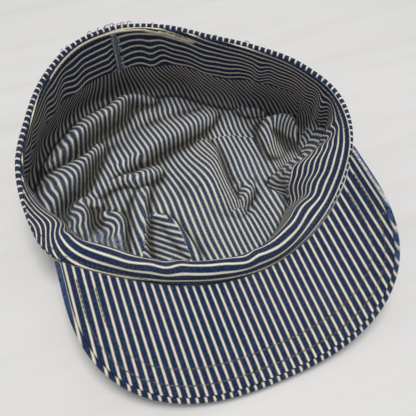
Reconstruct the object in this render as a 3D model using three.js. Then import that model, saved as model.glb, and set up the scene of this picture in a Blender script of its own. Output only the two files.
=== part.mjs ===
// A railroad engineer's cap of striped cotton, laid upside down on its soft crown,
// so that the head opening faces up. Millimetres, +Z up, the peak towards -Y.
// Until the last step, X and Y are measured from the middle of the head opening.
import * as THREE from 'three';

// Head opening and the two cloth bands that are sewn together along its rim
const HEAD_GIRTH = 575;
const RIM_HEIGHT = 65;
const BAND_HEIGHT = 36;
const BAND_CLOTH = 1;
const LAYER_GAP = 0.3;
const HEM_GAP = 0.5;

// Crown: one layer of cloth that hangs from the bands and lies on the table
const CROWN_CLOTH = 1.2;
const CROWN_FULLNESS = 0.5;
const CROWN_HANG = 0.5;
const FLAT_MARGIN = 0.15;
const FOOT_WIDTH = 1.5;
const GATHER_COUNT = 16;
const GATHER_DEPTH = 1.2;
const FOLD_HEIGHT = 12;
const FOLD_WIDTH = 12;

// Peak: a bent board between two cloths, whose upper cloth is rolled over its edge
const PEAK_WIDTH = 185;
const PEAK_DEPTH = 54.5;
const PEAK_SEAM_RADIUS = 121;
const PEAK_SEAM_SHIFT = 1.65;
const PEAK_SEAM_SKEW = 4;
const PEAK_SIDE = 17;
const PEAK_ROUNDNESS = 2.5;
const PEAK_BOARD = 2.2;
const PEAK_CLOTH = 1;
const PEAK_ROLL = 2.5;
const PEAK_SLOPE = 6.3;
const PEAK_LIFT = 11;
const PEAK_SETBACK = 71.4;

// How the peak is bent across its width, in degrees at its right end
const PEAK_BEND = { level: 1.9, linear: 12.1, square: 16.5, cubic: 32.9 };

// Fineness of the meshes
const AROUND = 80;
const TURN_STEPS = 4;
const WALL_RINGS = 6;
const FLOOR_RINGS = 12;
const PEAK_COLUMNS = 30;
const PEAK_ROWS = 5;
const ARC_STEPS = 40;
const EVEN_SHARE = 0.5;
const RIM_STEP = 0.004;
const NORMAL_ROUND = 0.002;
const NORMAL_DOWN = 0.01;
const NEAR_MIDDLE = 1.97;
const TINY = 1e-6;

// Worked out from the sizes above
const MEAN_RADIUS = HEAD_GIRTH / (2 * Math.PI);
const PEAK_HALF = PEAK_WIDTH / 2;
const SEAM_ROOM = BAND_CLOTH + 2 * LAYER_GAP;
const SIDE_SHARE = 0.07;
const TURN_FROM = 0.18;
const TURN_TO = 0.56;

// Free rim, from the right end of the peak round the back to its left end.
// bearing: degrees from +X; reach: share of MEAN_RADIUS; rise: share of RIM_HEIGHT.
// rimLean, lowLean: degrees that the band leans inwards from hanging straight down,
// at the rim and at its lower edge.
const FREE_RIM = [
  { bearing: 0, reach: 0.99, rise: 0.81, rimLean: -8, lowLean: -12 },
  { bearing: 19, reach: 0.89, rise: 0.915, rimLean: -20, lowLean: -22 },
  { bearing: 40, reach: 0.8, rise: 0.97, rimLean: -18, lowLean: -18 },
  { bearing: 62, reach: 0.8, rise: 0.99, rimLean: -15, lowLean: -15 },
  { bearing: 83, reach: 0.93, rise: 1, rimLean: -13, lowLean: -13 },
  { bearing: 100, reach: 1.065, rise: 0.985, rimLean: -11, lowLean: -11 },
  { bearing: 116, reach: 1.12, rise: 0.955, rimLean: -9, lowLean: -10 },
  { bearing: 133, reach: 1.095, rise: 0.88, rimLean: -13, lowLean: -17 },
  { bearing: 150, reach: 1.055, rise: 0.79, rimLean: -18, lowLean: -22 },
  { bearing: 167, reach: 1.06, rise: 0.69, rimLean: -14, lowLean: -18 },
  { bearing: 185, reach: 1.08, rise: 0.53, rimLean: 75, lowLean: 10 },
];

// Rim along the peak's seam, from its left end to its right end.
// across: share of PEAK_HALF; leans as above, past 90 where the band rises inwards.
const SEAM_RIM = [
  { across: -1, rimLean: 100, lowLean: 5 },
  { across: -0.68, rimLean: 155, lowLean: 12 },
  { across: -0.35, rimLean: 174, lowLean: 12 },
  { across: 0, rimLean: 174, lowLean: 12 },
  { across: 0.35, rimLean: 162, lowLean: 16 },
  { across: 0.7, rimLean: 85, lowLean: 25 },
  { across: 1, rimLean: 44, lowLean: 40 },
];

// Folds of the crown's cloth, each a ridge between two points of the floor.
// x and y: shares of MEAN_RADIUS; height: share of FOLD_HEIGHT; left and right:
// its width on either side, looking from the first point to the second, as shares
// of FOLD_WIDTH.
const FOLDS = [
  { name: 'roll_back', x1: -0.2, y1: 1.05, x2: -0.54, y2: 0.93, height: 1, left: 1.1, right: 1 },
  { name: 'roll_middle', x1: -0.54, y1: 0.93, x2: -0.82, y2: 0.62, height: 1.1, left: 1.1, right: 1 },
  { name: 'roll_front', x1: -0.82, y1: 0.62, x2: -1.03, y2: 0.3, height: 0.9, left: 1.1, right: 1 },
  { name: 'step_right', x1: 0.22, y1: 0.56, x2: -0.2, y2: 0.45, height: 0.5, left: 0.8, right: 2.2 },
  { name: 'step_left', x1: -0.2, y1: 0.45, x2: -0.52, y2: 0.28, height: 0.6, left: 0.8, right: 2.2 },
  { name: 'lower_step', x1: 0.12, y1: 0.38, x2: -0.38, y2: 0.2, height: 0.35, left: 0.8, right: 1.2 },
  { name: 'pouch', x1: 1.08, y1: 0.22, x2: 0.76, y2: 0.36, height: 1.1, left: 1.4, right: 0.9 },
  { name: 'pouch_end', x1: 0.76, y1: 0.36, x2: 0.78, y2: 0.02, height: 0.7, left: 1.2, right: 1 },
  { name: 'right_pleat', x1: 0.95, y1: 0.02, x2: 0.72, y2: -0.24, height: 0.6, left: 1.2, right: 1 },
  { name: 'front_pleat', x1: -0.33, y1: 0.1, x2: -0.48, y2: -0.34, height: 0.5, left: 0.8, right: 1.8 },
  { name: 'middle_pleat', x1: 0.22, y1: 0.14, x2: 0.16, y2: -0.5, height: 0.35, left: 1, right: 0.9 },
  { name: 'left_pleat', x1: -0.86, y1: 0.12, x2: -0.7, y2: -0.2, height: 0.5, left: 1, right: 1 },
];

const radians = THREE.MathUtils.degToRad;
const smooth = THREE.MathUtils.smoothstep;

// Bend of the peak's cross-section, in radians, at a distance across from its middle
function peakBend(across) {
  const share = across / PEAK_HALF;
  const { level, linear, square, cubic } = PEAK_BEND;
  return radians(level + linear * share + square * share ** 2 + cubic * share ** 3);
}

// The peak is bent one way only, so it unrolls flat: across runs along its bent
// cross-section, back along its straight lines, and off is the height over it.
function peakPoint(across, back, off) {
  let x = 0;
  let rise = 0;
  const step = across / ARC_STEPS;
  for (let i = 0; i < ARC_STEPS; i += 1) {
    const bend = peakBend((i + 0.5) * step);
    x += Math.cos(bend) * step;
    rise += Math.sin(bend) * step;
  }
  x -= off * Math.sin(peakBend(across));
  rise += off * Math.cos(peakBend(across));
  const slope = radians(PEAK_SLOPE);
  return new THREE.Vector3(
    x,
    back * Math.cos(slope) - rise * Math.sin(slope) - PEAK_SETBACK,
    back * Math.sin(slope) + rise * Math.cos(slope) + PEAK_LIFT,
  );
}

// Place of the seam on the flat peak, measured back from the middle of its arc. The
// arc is pushed back left of its middle.
function seamBack(across, room) {
  const share = across / PEAK_HALF;
  const push = PEAK_SEAM_SHIFT * (1 - share ** 2) * (1 - share) ** PEAK_SEAM_SKEW;
  return PEAK_SEAM_RADIUS - Math.sqrt((PEAK_SEAM_RADIUS + room) ** 2 - across ** 2) + push;
}

function freeRimRow({ bearing, reach, rise, rimLean, lowLean }) {
  const x = reach * MEAN_RADIUS * Math.cos(radians(bearing));
  const y = reach * MEAN_RADIUS * Math.sin(radians(bearing));
  return [x, y, rise * RIM_HEIGHT, rimLean, lowLean];
}

function seamRimRow({ across, rimLean, lowLean }) {
  const place = peakPoint(across * PEAK_HALF, seamBack(across * PEAK_HALF, 0), 0);
  return [place.x, place.y, place.z, rimLean, lowLean];
}

const RIM_ROWS = [...FREE_RIM.map(freeRimRow), ...SEAM_RIM.map(seamRimRow)];

// A smooth closed curve through the rows; u runs from 0 to 1 round the rim
function rimRow(u) {
  const count = RIM_ROWS.length;
  const place = (u - Math.floor(u)) * count;
  const first = Math.floor(place);
  const t = place - first;
  const near = [-1, 0, 1, 2].map((i) => RIM_ROWS[(first + i + count) % count]);
  return RIM_ROWS[0].map((_, column) => {
    const [a, b, c, d] = near.map((row) => row[column]);
    const bend = 2 * a - 5 * b + 4 * c - d + t * (3 * b - 3 * c + d - a);
    return b + 0.5 * t * (c - a + t * bend);
  });
}

// Level direction from the rim into the opening
function inwards(u) {
  const [x1, y1] = rimRow(u - RIM_STEP);
  const [x2, y2] = rimRow(u + RIM_STEP);
  return new THREE.Vector3(y1 - y2, x2 - x1, 0).normalize();
}

// Where the bands are at a distance down from the rim, between their two layers,
// and the directions along them and towards the head
function bandPlace(u, distance) {
  const [x, y, z, rimLean, lowLean] = rimRow(u);
  const into = inwards(u);
  const lean = (at) => {
    const turned = smooth(at, TURN_FROM * BAND_HEIGHT, TURN_TO * BAND_HEIGHT);
    return radians(rimLean + (lowLean - rimLean) * turned);
  };
  const point = new THREE.Vector3(x, y, z);
  const step = distance / ARC_STEPS;
  for (let i = 0; i < ARC_STEPS; i += 1) {
    const angle = lean((i + 0.5) * step);
    point.addScaledVector(into, Math.sin(angle) * step);
    point.z -= Math.cos(angle) * step;
  }
  const angle = lean(distance);
  const down = into.clone().multiplyScalar(Math.sin(angle));
  down.z = -Math.cos(angle);
  const headwards = into.clone().multiplyScalar(Math.cos(angle));
  headwards.z = Math.sin(angle);
  return { point, down, headwards, into };
}

function bandPoint(u, distance, off) {
  const { point, headwards } = bandPlace(u, distance);
  return point.addScaledVector(headwards, off);
}

// Height of the folds over the crown's floor
function foldHeight(x, y) {
  let height = 0;
  for (const fold of FOLDS) {
    const from = new THREE.Vector2(fold.x1, fold.y1).multiplyScalar(MEAN_RADIUS);
    const line = new THREE.Vector2(fold.x2, fold.y2).multiplyScalar(MEAN_RADIUS).sub(from);
    const gap = new THREE.Vector2(x, y).sub(from);
    const along = THREE.MathUtils.clamp(gap.dot(line) / line.lengthSq(), 0, 1);
    gap.addScaledVector(line, -along);
    const side = line.cross(gap) / (line.length() * Math.max(gap.length(), TINY));
    const width = FOLD_WIDTH * THREE.MathUtils.lerp(fold.right, fold.left, (1 + side) / 2);
    const share = Math.min(gap.length() / width, 1);
    height = Math.max(height, fold.height * FOLD_HEIGHT * (1 - share ** 2) ** 2);
  }
  return height;
}

// The crown between its two faces. From 0 to 1, t runs down the wall, which bulges
// out below the bands and turns under; from 1 to 2 it runs over the floor to the middle.
function crownPoint(u, t) {
  const { point, down, into } = bandPlace(u, BAND_HEIGHT + HEM_GAP);
  const rest = CROWN_CLOTH / 2;
  const drop = Math.max(point.z - rest, 0);
  const belly = CROWN_FULLNESS * drop;
  const foot = point.clone().addScaledVector(into, FOOT_WIDTH);
  foot.z = rest;
  if (t <= 1) {
    const upper = point.clone().addScaledVector(down, CROWN_HANG * drop);
    const lower = point.clone().addScaledVector(into, -belly);
    lower.z = rest;
    const wall = new THREE.CubicBezierCurve3(point, upper, lower, foot).getPoint(t);
    const gather = Math.cos(2 * Math.PI * GATHER_COUNT * u) * Math.sin(Math.PI * t) ** 2;
    const depth = GATHER_DEPTH * Math.min(drop / FOLD_HEIGHT, 1);
    return wall.addScaledVector(into, depth * gather);
  }
  const floor = foot.multiplyScalar(2 - t);
  floor.z = rest + foldHeight(floor.x, floor.y) * smooth(t, 1, 1 + FLAT_MARGIN);
  return floor;
}

// Direction out of the crown's cloth, towards the head
function crownNormal(u, t) {
  const before = crownPoint(u, Math.max(t - NORMAL_DOWN, 0));
  const after = crownPoint(u, Math.min(t + NORMAL_DOWN, 2 - NORMAL_DOWN));
  const left = crownPoint(u - NORMAL_ROUND, Math.min(t, NEAR_MIDDLE));
  const right = crownPoint(u + NORMAL_ROUND, Math.min(t, NEAR_MIDDLE));
  return right.sub(left).cross(after.sub(before)).normalize();
}

function crownFace(u, t, off) {
  if (t === 2) {
    return new THREE.Vector3(0, 0, CROWN_CLOTH / 2 + foldHeight(0, 0) + off);
  }
  return crownPoint(u, t).addScaledVector(crownNormal(u, t), off);
}

// Place on the flat peak; side runs from -1 at its left end to 1 at its right end,
// out from 0 at the seam to 1 at the outer edge less the inset. The outer edge is
// a broad round curve between two short straight sides.
function peakFlat(side, out, inset) {
  const half = PEAK_HALF - inset;
  const seam = seamBack(side * half, SEAM_ROOM);
  const corner = seamBack(half, SEAM_ROOM);
  const sideEnd = corner - PEAK_SIDE;
  const depth = PEAK_DEPTH - inset + sideEnd;
  const curved = Math.min(Math.abs(side) / (1 - SIDE_SHARE), 1);
  const angle = (Math.PI / 2) * curved;
  const power = 2 / PEAK_ROUNDNESS;
  let edgeAcross = half * Math.sin(angle) ** power;
  let edgeBack = sideEnd - depth * Math.max(Math.cos(angle), 0) ** power;
  if (Math.abs(side) > 1 - SIDE_SHARE) {
    edgeAcross = half;
    edgeBack = corner - (PEAK_SIDE * (1 - Math.abs(side))) / SIDE_SHARE;
  }
  return {
    across: THREE.MathUtils.lerp(side * half, Math.sign(side) * edgeAcross, out),
    back: THREE.MathUtils.lerp(seam, edgeBack, out),
  };
}

function peakFace(side, out, inset, off) {
  const { across, back } = peakFlat(side, out, inset);
  return peakPoint(across, back, off);
}

// A closed mesh from the four-sided faces of a loop of points that is swept along
// many sections. The sections join into a ring, or each end is closed by a fan.
// The loop's second half runs back along its first, and both are split alike, so
// that layers which lie on each other keep their gap where they twist.
function sweep(sections, ring) {
  const count = sections[0].length;
  const positions = sections.flat().flatMap((point) => point.toArray());
  const faces = [];
  const spans = ring ? sections.length : sections.length - 1;
  for (let i = 0; i < spans; i += 1) {
    const next = (i + 1) % sections.length;
    for (let j = 0; j < count; j += 1) {
      const k = (j + 1) % count;
      const [a, b, c, d] = [i * count + j, i * count + k, next * count + k, next * count + j];
      if (j < count / 2) faces.push(a, c, b, a, d, c);
      else faces.push(a, d, b, b, d, c);
    }
  }
  if (!ring) {
    const last = (sections.length - 1) * count;
    for (let j = 1; j < count - 1; j += 1) {
      faces.push(0, j, j + 1, last, last + j + 1, last + j);
    }
  }
  return solid(positions, faces);
}

// The crown's two faces, closed along the bands and meeting no edge in the middle
function cup(rings) {
  const positions = [];
  const faces = [];
  const inner = (i, j) => (i % AROUND) * rings.length + j;
  const outer = (i, j) => inner(i, j) + AROUND * rings.length;
  const square = (a, b, c, d) => faces.push(a, b, c, a, c, d);
  for (const off of [CROWN_CLOTH / 2, -CROWN_CLOTH / 2]) {
    for (let i = 0; i < AROUND; i += 1) {
      rings.forEach((t) => positions.push(...crownFace(i / AROUND, t, off).toArray()));
    }
  }
  const hub = positions.length / 3;
  positions.push(...crownFace(0, 2, CROWN_CLOTH / 2).toArray());
  positions.push(...crownFace(0, 2, -CROWN_CLOTH / 2).toArray());
  const last = rings.length - 1;
  for (let i = 0; i < AROUND; i += 1) {
    const k = i + 1;
    for (let j = 0; j < last; j += 1) {
      square(inner(i, j), inner(k, j), inner(k, j + 1), inner(i, j + 1));
      square(outer(i, j), outer(i, j + 1), outer(k, j + 1), outer(k, j));
    }
    square(inner(i, 0), outer(i, 0), outer(k, 0), inner(k, 0));
    faces.push(inner(i, last), inner(k, last), hub);
    faces.push(outer(k, last), outer(i, last), hub + 1);
  }
  return solid(positions, faces);
}

function solid(positions, faces) {
  const geometry = new THREE.BufferGeometry();
  geometry.setAttribute('position', new THREE.Float32BufferAttribute(positions, 3));
  geometry.setIndex(faces);
  geometry.computeVertexNormals();
  return geometry;
}

function steps(from, to, count) {
  return Array.from({ length: count + 1 }, (_, i) => from + ((to - from) * i) / count);
}

// One layer of the band between two heights over the line between the layers
function band(low, high) {
  const turn = steps(TURN_FROM, TURN_TO, TURN_STEPS);
  const down = [0, ...turn, 1].map((share) => share * BAND_HEIGHT);
  const sections = Array.from({ length: AROUND }, (_, i) => {
    const u = i / AROUND;
    const head = down.map((distance) => bandPoint(u, distance, high));
    const back = down.map((distance) => bandPoint(u, distance, low)).reverse();
    return [...head, ...back];
  });
  return sweep(sections, true);
}

function crown() {
  const wall = steps(0, 1, WALL_RINGS);
  const floor = steps(1, 2, FLOOR_RINGS).slice(1, -1);
  return cup([...wall, ...floor]);
}

// Shares from -1 to 1, closer together towards the ends of the peak
function peakSides() {
  return steps(-1, 1, PEAK_COLUMNS).map((side) => (
    THREE.MathUtils.lerp(Math.sin((side * Math.PI) / 2), side, EVEN_SHARE)
  ));
}

function peakUnder() {
  const inset = PEAK_ROLL + LAYER_GAP;
  const out = steps(0, 1, PEAK_ROWS);
  const sections = peakSides().map((side) => [
    ...out.map((share) => peakFace(side, share, inset, LAYER_GAP)),
    ...out.map((share) => peakFace(side, share, inset, LAYER_GAP + PEAK_CLOTH)).reverse(),
  ]);
  return sweep(sections, false);
}

// Board and upper cloth, whose rolled edge stands up round the under cloth
function peakUpper() {
  const out = steps(0, 1, PEAK_ROWS);
  const top = LAYER_GAP + PEAK_CLOTH;
  const sections = peakSides().map((side) => [
    ...out.map((share) => peakFace(side, share, 0, -PEAK_BOARD)),
    peakFace(side, 1, 0, top),
    peakFace(side, 1, PEAK_ROLL, top),
    peakFace(side, 1, PEAK_ROLL, 0),
    ...out.slice(0, -1).reverse().map((share) => peakFace(side, share, PEAK_ROLL, 0)),
  ]);
  return sweep(sections, false);
}

function cloth(color, roughness) {
  return new THREE.MeshStandardMaterial({ color, roughness, metalness: 0 });
}

function piece(name, geometry, material) {
  const mesh = new THREE.Mesh(geometry, material);
  mesh.name = name;
  return mesh;
}

const gapSide = LAYER_GAP / 2;
const cap = new THREE.Group();
cap.add(
  piece('crown', crown(), cloth(0x77808f, 0.95)),
  piece('outer_band', band(-gapSide - BAND_CLOTH, -gapSide), cloth(0x3b4f7c, 0.9)),
  piece('sweatband', band(gapSide, gapSide + BAND_CLOTH), cloth(0x34466f, 0.9)),
  piece('peak_under', peakUnder(), cloth(0x4a5d88, 0.9)),
  piece('peak_upper', peakUpper(), cloth(0x3b4f7c, 0.9)),
);

// The origin is the middle of the cap's footprint, on the table
const box = new THREE.Box3().setFromObject(cap, true);
const middle = box.getCenter(new THREE.Vector3());
cap.position.set(-middle.x, -middle.y, -box.min.z);

export default cap;
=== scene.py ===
import math

import bmesh
import bpy
import numpy as np
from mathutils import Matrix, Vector


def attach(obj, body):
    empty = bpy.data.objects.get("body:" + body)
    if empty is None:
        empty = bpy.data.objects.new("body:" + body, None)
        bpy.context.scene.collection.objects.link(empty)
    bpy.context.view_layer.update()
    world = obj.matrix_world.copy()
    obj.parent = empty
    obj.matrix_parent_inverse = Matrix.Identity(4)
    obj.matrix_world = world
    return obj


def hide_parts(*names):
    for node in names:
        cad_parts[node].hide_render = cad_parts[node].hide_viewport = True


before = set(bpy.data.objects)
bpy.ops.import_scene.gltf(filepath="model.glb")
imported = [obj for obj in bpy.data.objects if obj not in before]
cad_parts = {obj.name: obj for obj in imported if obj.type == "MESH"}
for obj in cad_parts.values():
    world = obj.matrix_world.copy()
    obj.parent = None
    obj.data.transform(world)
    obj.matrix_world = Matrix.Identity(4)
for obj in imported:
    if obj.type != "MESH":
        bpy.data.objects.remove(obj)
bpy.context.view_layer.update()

MM = 0.001

# From the middle of the head opening to the middle of the part's box, in mm
ORIGIN = np.array([2.353, 7.549, 0.0])

# Sizes of the cap in mm. The peak's slope and its bend are in degrees, and its straight
# sides take up SIDE_SHARE of each half of it. CROWN_FULLNESS is a share of the drop
HEAD_GIRTH = 575.0
RIM_HEIGHT = 65.0
BAND_HEIGHT = 36.0
BAND_CLOTH = 1.0
LAYER_GAP = 0.3
HEM_GAP = 0.5
CROWN_CLOTH = 1.2
CROWN_FULLNESS = 0.5
FOOT_WIDTH = 1.5
FOLD_HEIGHT = 12.0
PEAK_WIDTH = 185.0
PEAK_DEPTH = 54.5
PEAK_SEAM_RADIUS = 121.0
PEAK_SEAM_SHIFT = 1.65
PEAK_SEAM_SKEW = 4
PEAK_SIDE = 17.0
PEAK_ROUNDNESS = 2.5
PEAK_BOARD = 2.2
PEAK_CLOTH = 1.0
PEAK_ROLL = 2.5
PEAK_SLOPE = math.radians(6.3)
PEAK_LIFT = 11.0
PEAK_SETBACK = 71.4
PEAK_BEND = {"level": 1.9, "linear": 12.1, "square": 16.5, "cubic": 32.9}
SIDE_SHARE = 0.07
FLOOR_REST = CROWN_CLOTH / 2
MEAN_RADIUS = HEAD_GIRTH / (2 * math.pi)
PEAK_HALF = PEAK_WIDTH / 2
SEAM_ROOM = BAND_CLOTH + LAYER_GAP
SWEAT_OUTER = LAYER_GAP / 2 + BAND_CLOTH
UNDER_TOP = LAYER_GAP + PEAK_CLOTH

# The band turns from its lean at the rim to that at its lower edge between two shares
# of its height. The back seam is a share of the way round the cap
TURN_FROM = 0.18
TURN_TO = 0.56
BACK_SEAM = 0.288

# Steps of the sums along the peak's bend and down the band, points along the peak, its
# edge, from the seam to the edge and round the roll, points along the rim, and how far
# before and after a place, as a share of the way round, the rim's direction is taken
ARC_STEPS = 40
PEAK_SIDES = 171
EDGE_STEPS = 401
UNDER_NEAR_SEAM = (0, 0.6, 18)
UNDER_NEAR_EDGE = (0.62, 1, 34)
UPPER_STEPS = 24
UPPER_ROLL_STEPS = 11
RIM_STEPS = 1441
NEAR_ROUND = 0.004

# Rolled edges of the band's layers in mm: how far down the flat cloth begins, and the
# roll's radius, degrees and place. Then how many points lie round the cap, down a face
# and over the roll
OUTER_TOP = 4.0
OUTER_ROLL = 1.5
OUTER_TURN = 200
SWEAT_TOP = 1.3
SWEAT_ROLL_AT = 1.0
OUTER_AROUND = 480
OUTER_DOWN = 22
OUTER_ROLL_STEPS = 12
SWEAT_AROUND = 720
SWEAT_DOWN = 26
SWEAT_ROLL_STEPS = 7

# The upper cloth of the peak over its rolled edge: how far in mm its end lies below the
# under cloth's face, and the height at which it turns in
EDGE_DIP = 0.15
EDGE_TURN = 0.3

# Wear of the upper cloth at its edge: share of the depth where it starts, which side,
# from and to on that side, and how worn
PEAK_WEAR = [(0.93, 1, 0.35, 0.8, 0.6), (0.97, -1, 0.75, 0.95, 0.5)]

# Shift of the upper cloth's stripes against the under cloth's, in stripes
PEAK_STRIPES_ASIDE = 0.3

# Stripes of the cloth: the distance from one to the next
STRIPE_PITCH = 3.9
PEAK_PITCH = 4.12
CROWN_PITCH = 3.42

# The sweatband's lines lie further apart at the back than at the front
SWEAT_PITCH = 3.6
SWEAT_SPREAD = 1.5
SWEAT_SPREAD_AT = 0.33
SWEAT_SPREAD_WIDTH = 1.3

# Where the sweatband's lines are closer or wider: share of the way round, width
# there, and the share that is added to their distance. Beside the back seam they are
# pulled by one stripe over SEAM_PULL of the way round
SEAM_PULL = 0.007
SWEAT_PLACES = [(0.565, 0.05, -0.38), (0.73, 0.06, -0.1), (0.24, 0.05, 0.15)]

# The lines on the crest over the peak are drawn together towards its top: share of the
# way round, width there, how far down in mm, and by how many lines
CREST_AT = 0.74
CREST_WIDTH = 0.13
CREST_DEPTH = 22.0
CREST_DRAW = 0.9

# Waves round the cap: how many, their size, and where they start in radians. Those of
# the band are in mm and grow towards its lower edge, those of its lines are in stripes
BAND_WAVES = [(7, 0.7, 0.8), (12, 0.5, 2.1), (19, 0.35, 4.0)]
BAND_WAVES_GROW = (0.05, 1)
LOW_WAVE = (9, 0.5, 1.0)
LOW_WAVE_TWIST = 5.0
LOW_WAVE_GROWS = (0.2, 0.6)
LINE_WAVES = [(11, 0.16, 1), (17, 0.12, 3), (29, 0.1, 0.5)]
LINE_WAVES_GROW = (1, 22)

# Gathers of the crown's wall: how many and mm deep, broad ones, and fine ones that
# wander round the cap, have others between them, and lose depth down the wall
GATHERS = 16
GATHER_DEPTH = 1.2
PLEATS = 46
PLEATS_WANDER = (5, 1.5)
PLEATS_BETWEEN = (71, 0.6, 1.0)
PLEAT_DEPTH = 0.35
PLEAT_LOSS = 0.6

# Where the crown's foot lies further in than its bands, and its wall is a slope: share
# of the way round, half width there, mm, the slope's rise as a share of the drop, and
# how much of the wall's upper curve it takes away
INSET_AT = 0.985
INSET_HALF = 0.088
FOOT_INSET = 20.0
SLOPE_RISE = 0.5
SLOPE_TOP = 0.7

# Sewn panel in the wall there: from and to as shares of the way round, and degrees. Its
# stripes are a little closer, and begin WALL_PANEL_END mm in from the foot
WALL_PANEL = (0.915, 1.015, 44)
WALL_PANEL_CLOSER = 0.95
WALL_PANEL_END = 1.2

# Worn places of the crown: x, y, radius in mm, and how worn. From the edge inwards the
# wear grows over WORN_FULL of the radius
WORN_FULL = 0.8
WORN_PLACES = [(-69, -13, 11, 0.7), (-60, -22, 10, 0.8), (-84, 8, 9, 0.3), (40, 2, 16, 0.2)]

# Grid of the crown: points round the cap, down the wall and over the floor, and the
# share of the way in from the foot over which the folds begin
CROWN_AROUND = 430
CROWN_WALLS = 12
CROWN_FLOORS = 98
FOLDS_BEGIN = 0.04

# Creases of the band: share of the way round, half width there, how far it bulges
# in mm, how far its lines swing in stripes, and the number of waves
CREASES = [
    (0.012, 0.032, 2.2, 1.1, 2.2),
    (0.095, 0.02, 1.2, 0.5, 1.0),
    (0.235, 0.02, 1.0, 0.45, 0.8),
    (0.37, 0.05, 1.0, 0.4, 2.4),
    (0.45, 0.05, 1.3, 0.5, 2.6),
    (0.51, 0.03, 1.6, 0.7, 1.4),
    (0.6, 0.045, 1.6, 1.0, 1.3),
    (0.715, 0.022, 0.8, 0.35, 1.0),
    (0.79, 0.016, 0.7, 0.3, 0.8),
    (0.9, 0.03, 0.8, 0.3, 1.4),
    (0.976, 0.03, 1.6, 0.8, 2.0),
]
CREASE_SLANT = 0.012
CREASES_GROW = (0.1, 0.7)

# Free rim from the right end of the peak round the back to its left end: bearing in
# degrees, reach as a share of the mean radius, rise as a share of the rim's height,
# and the band's lean in degrees at the rim and at its lower edge
FREE_RIM = [
    (0, 0.99, 0.81, -1, -4),
    (19, 0.89, 0.915, -20, -22),
    (40, 0.8, 0.97, -18, -18),
    (62, 0.8, 0.99, -15, -15),
    (83, 0.93, 1, -13, -13),
    (100, 1.065, 0.985, -11, -11),
    (116, 1.12, 0.955, -9, -10),
    (133, 1.095, 0.88, -13, -17),
    (150, 1.055, 0.79, -18, -22),
    (167, 1.06, 0.69, -14, -18),
    (185, 1.08, 0.53, 75, 10),
]

# Rim along the peak's seam: share of the peak's half width, and the leans as above
SEAM_RIM = [
    (-1, 100, 5),
    (-0.68, 155, 12),
    (-0.35, 174, 12),
    (0, 174, 12),
    (0.35, 162, 16),
    (0.7, 85, 25),
    (1, 55, 50),
]

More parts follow.
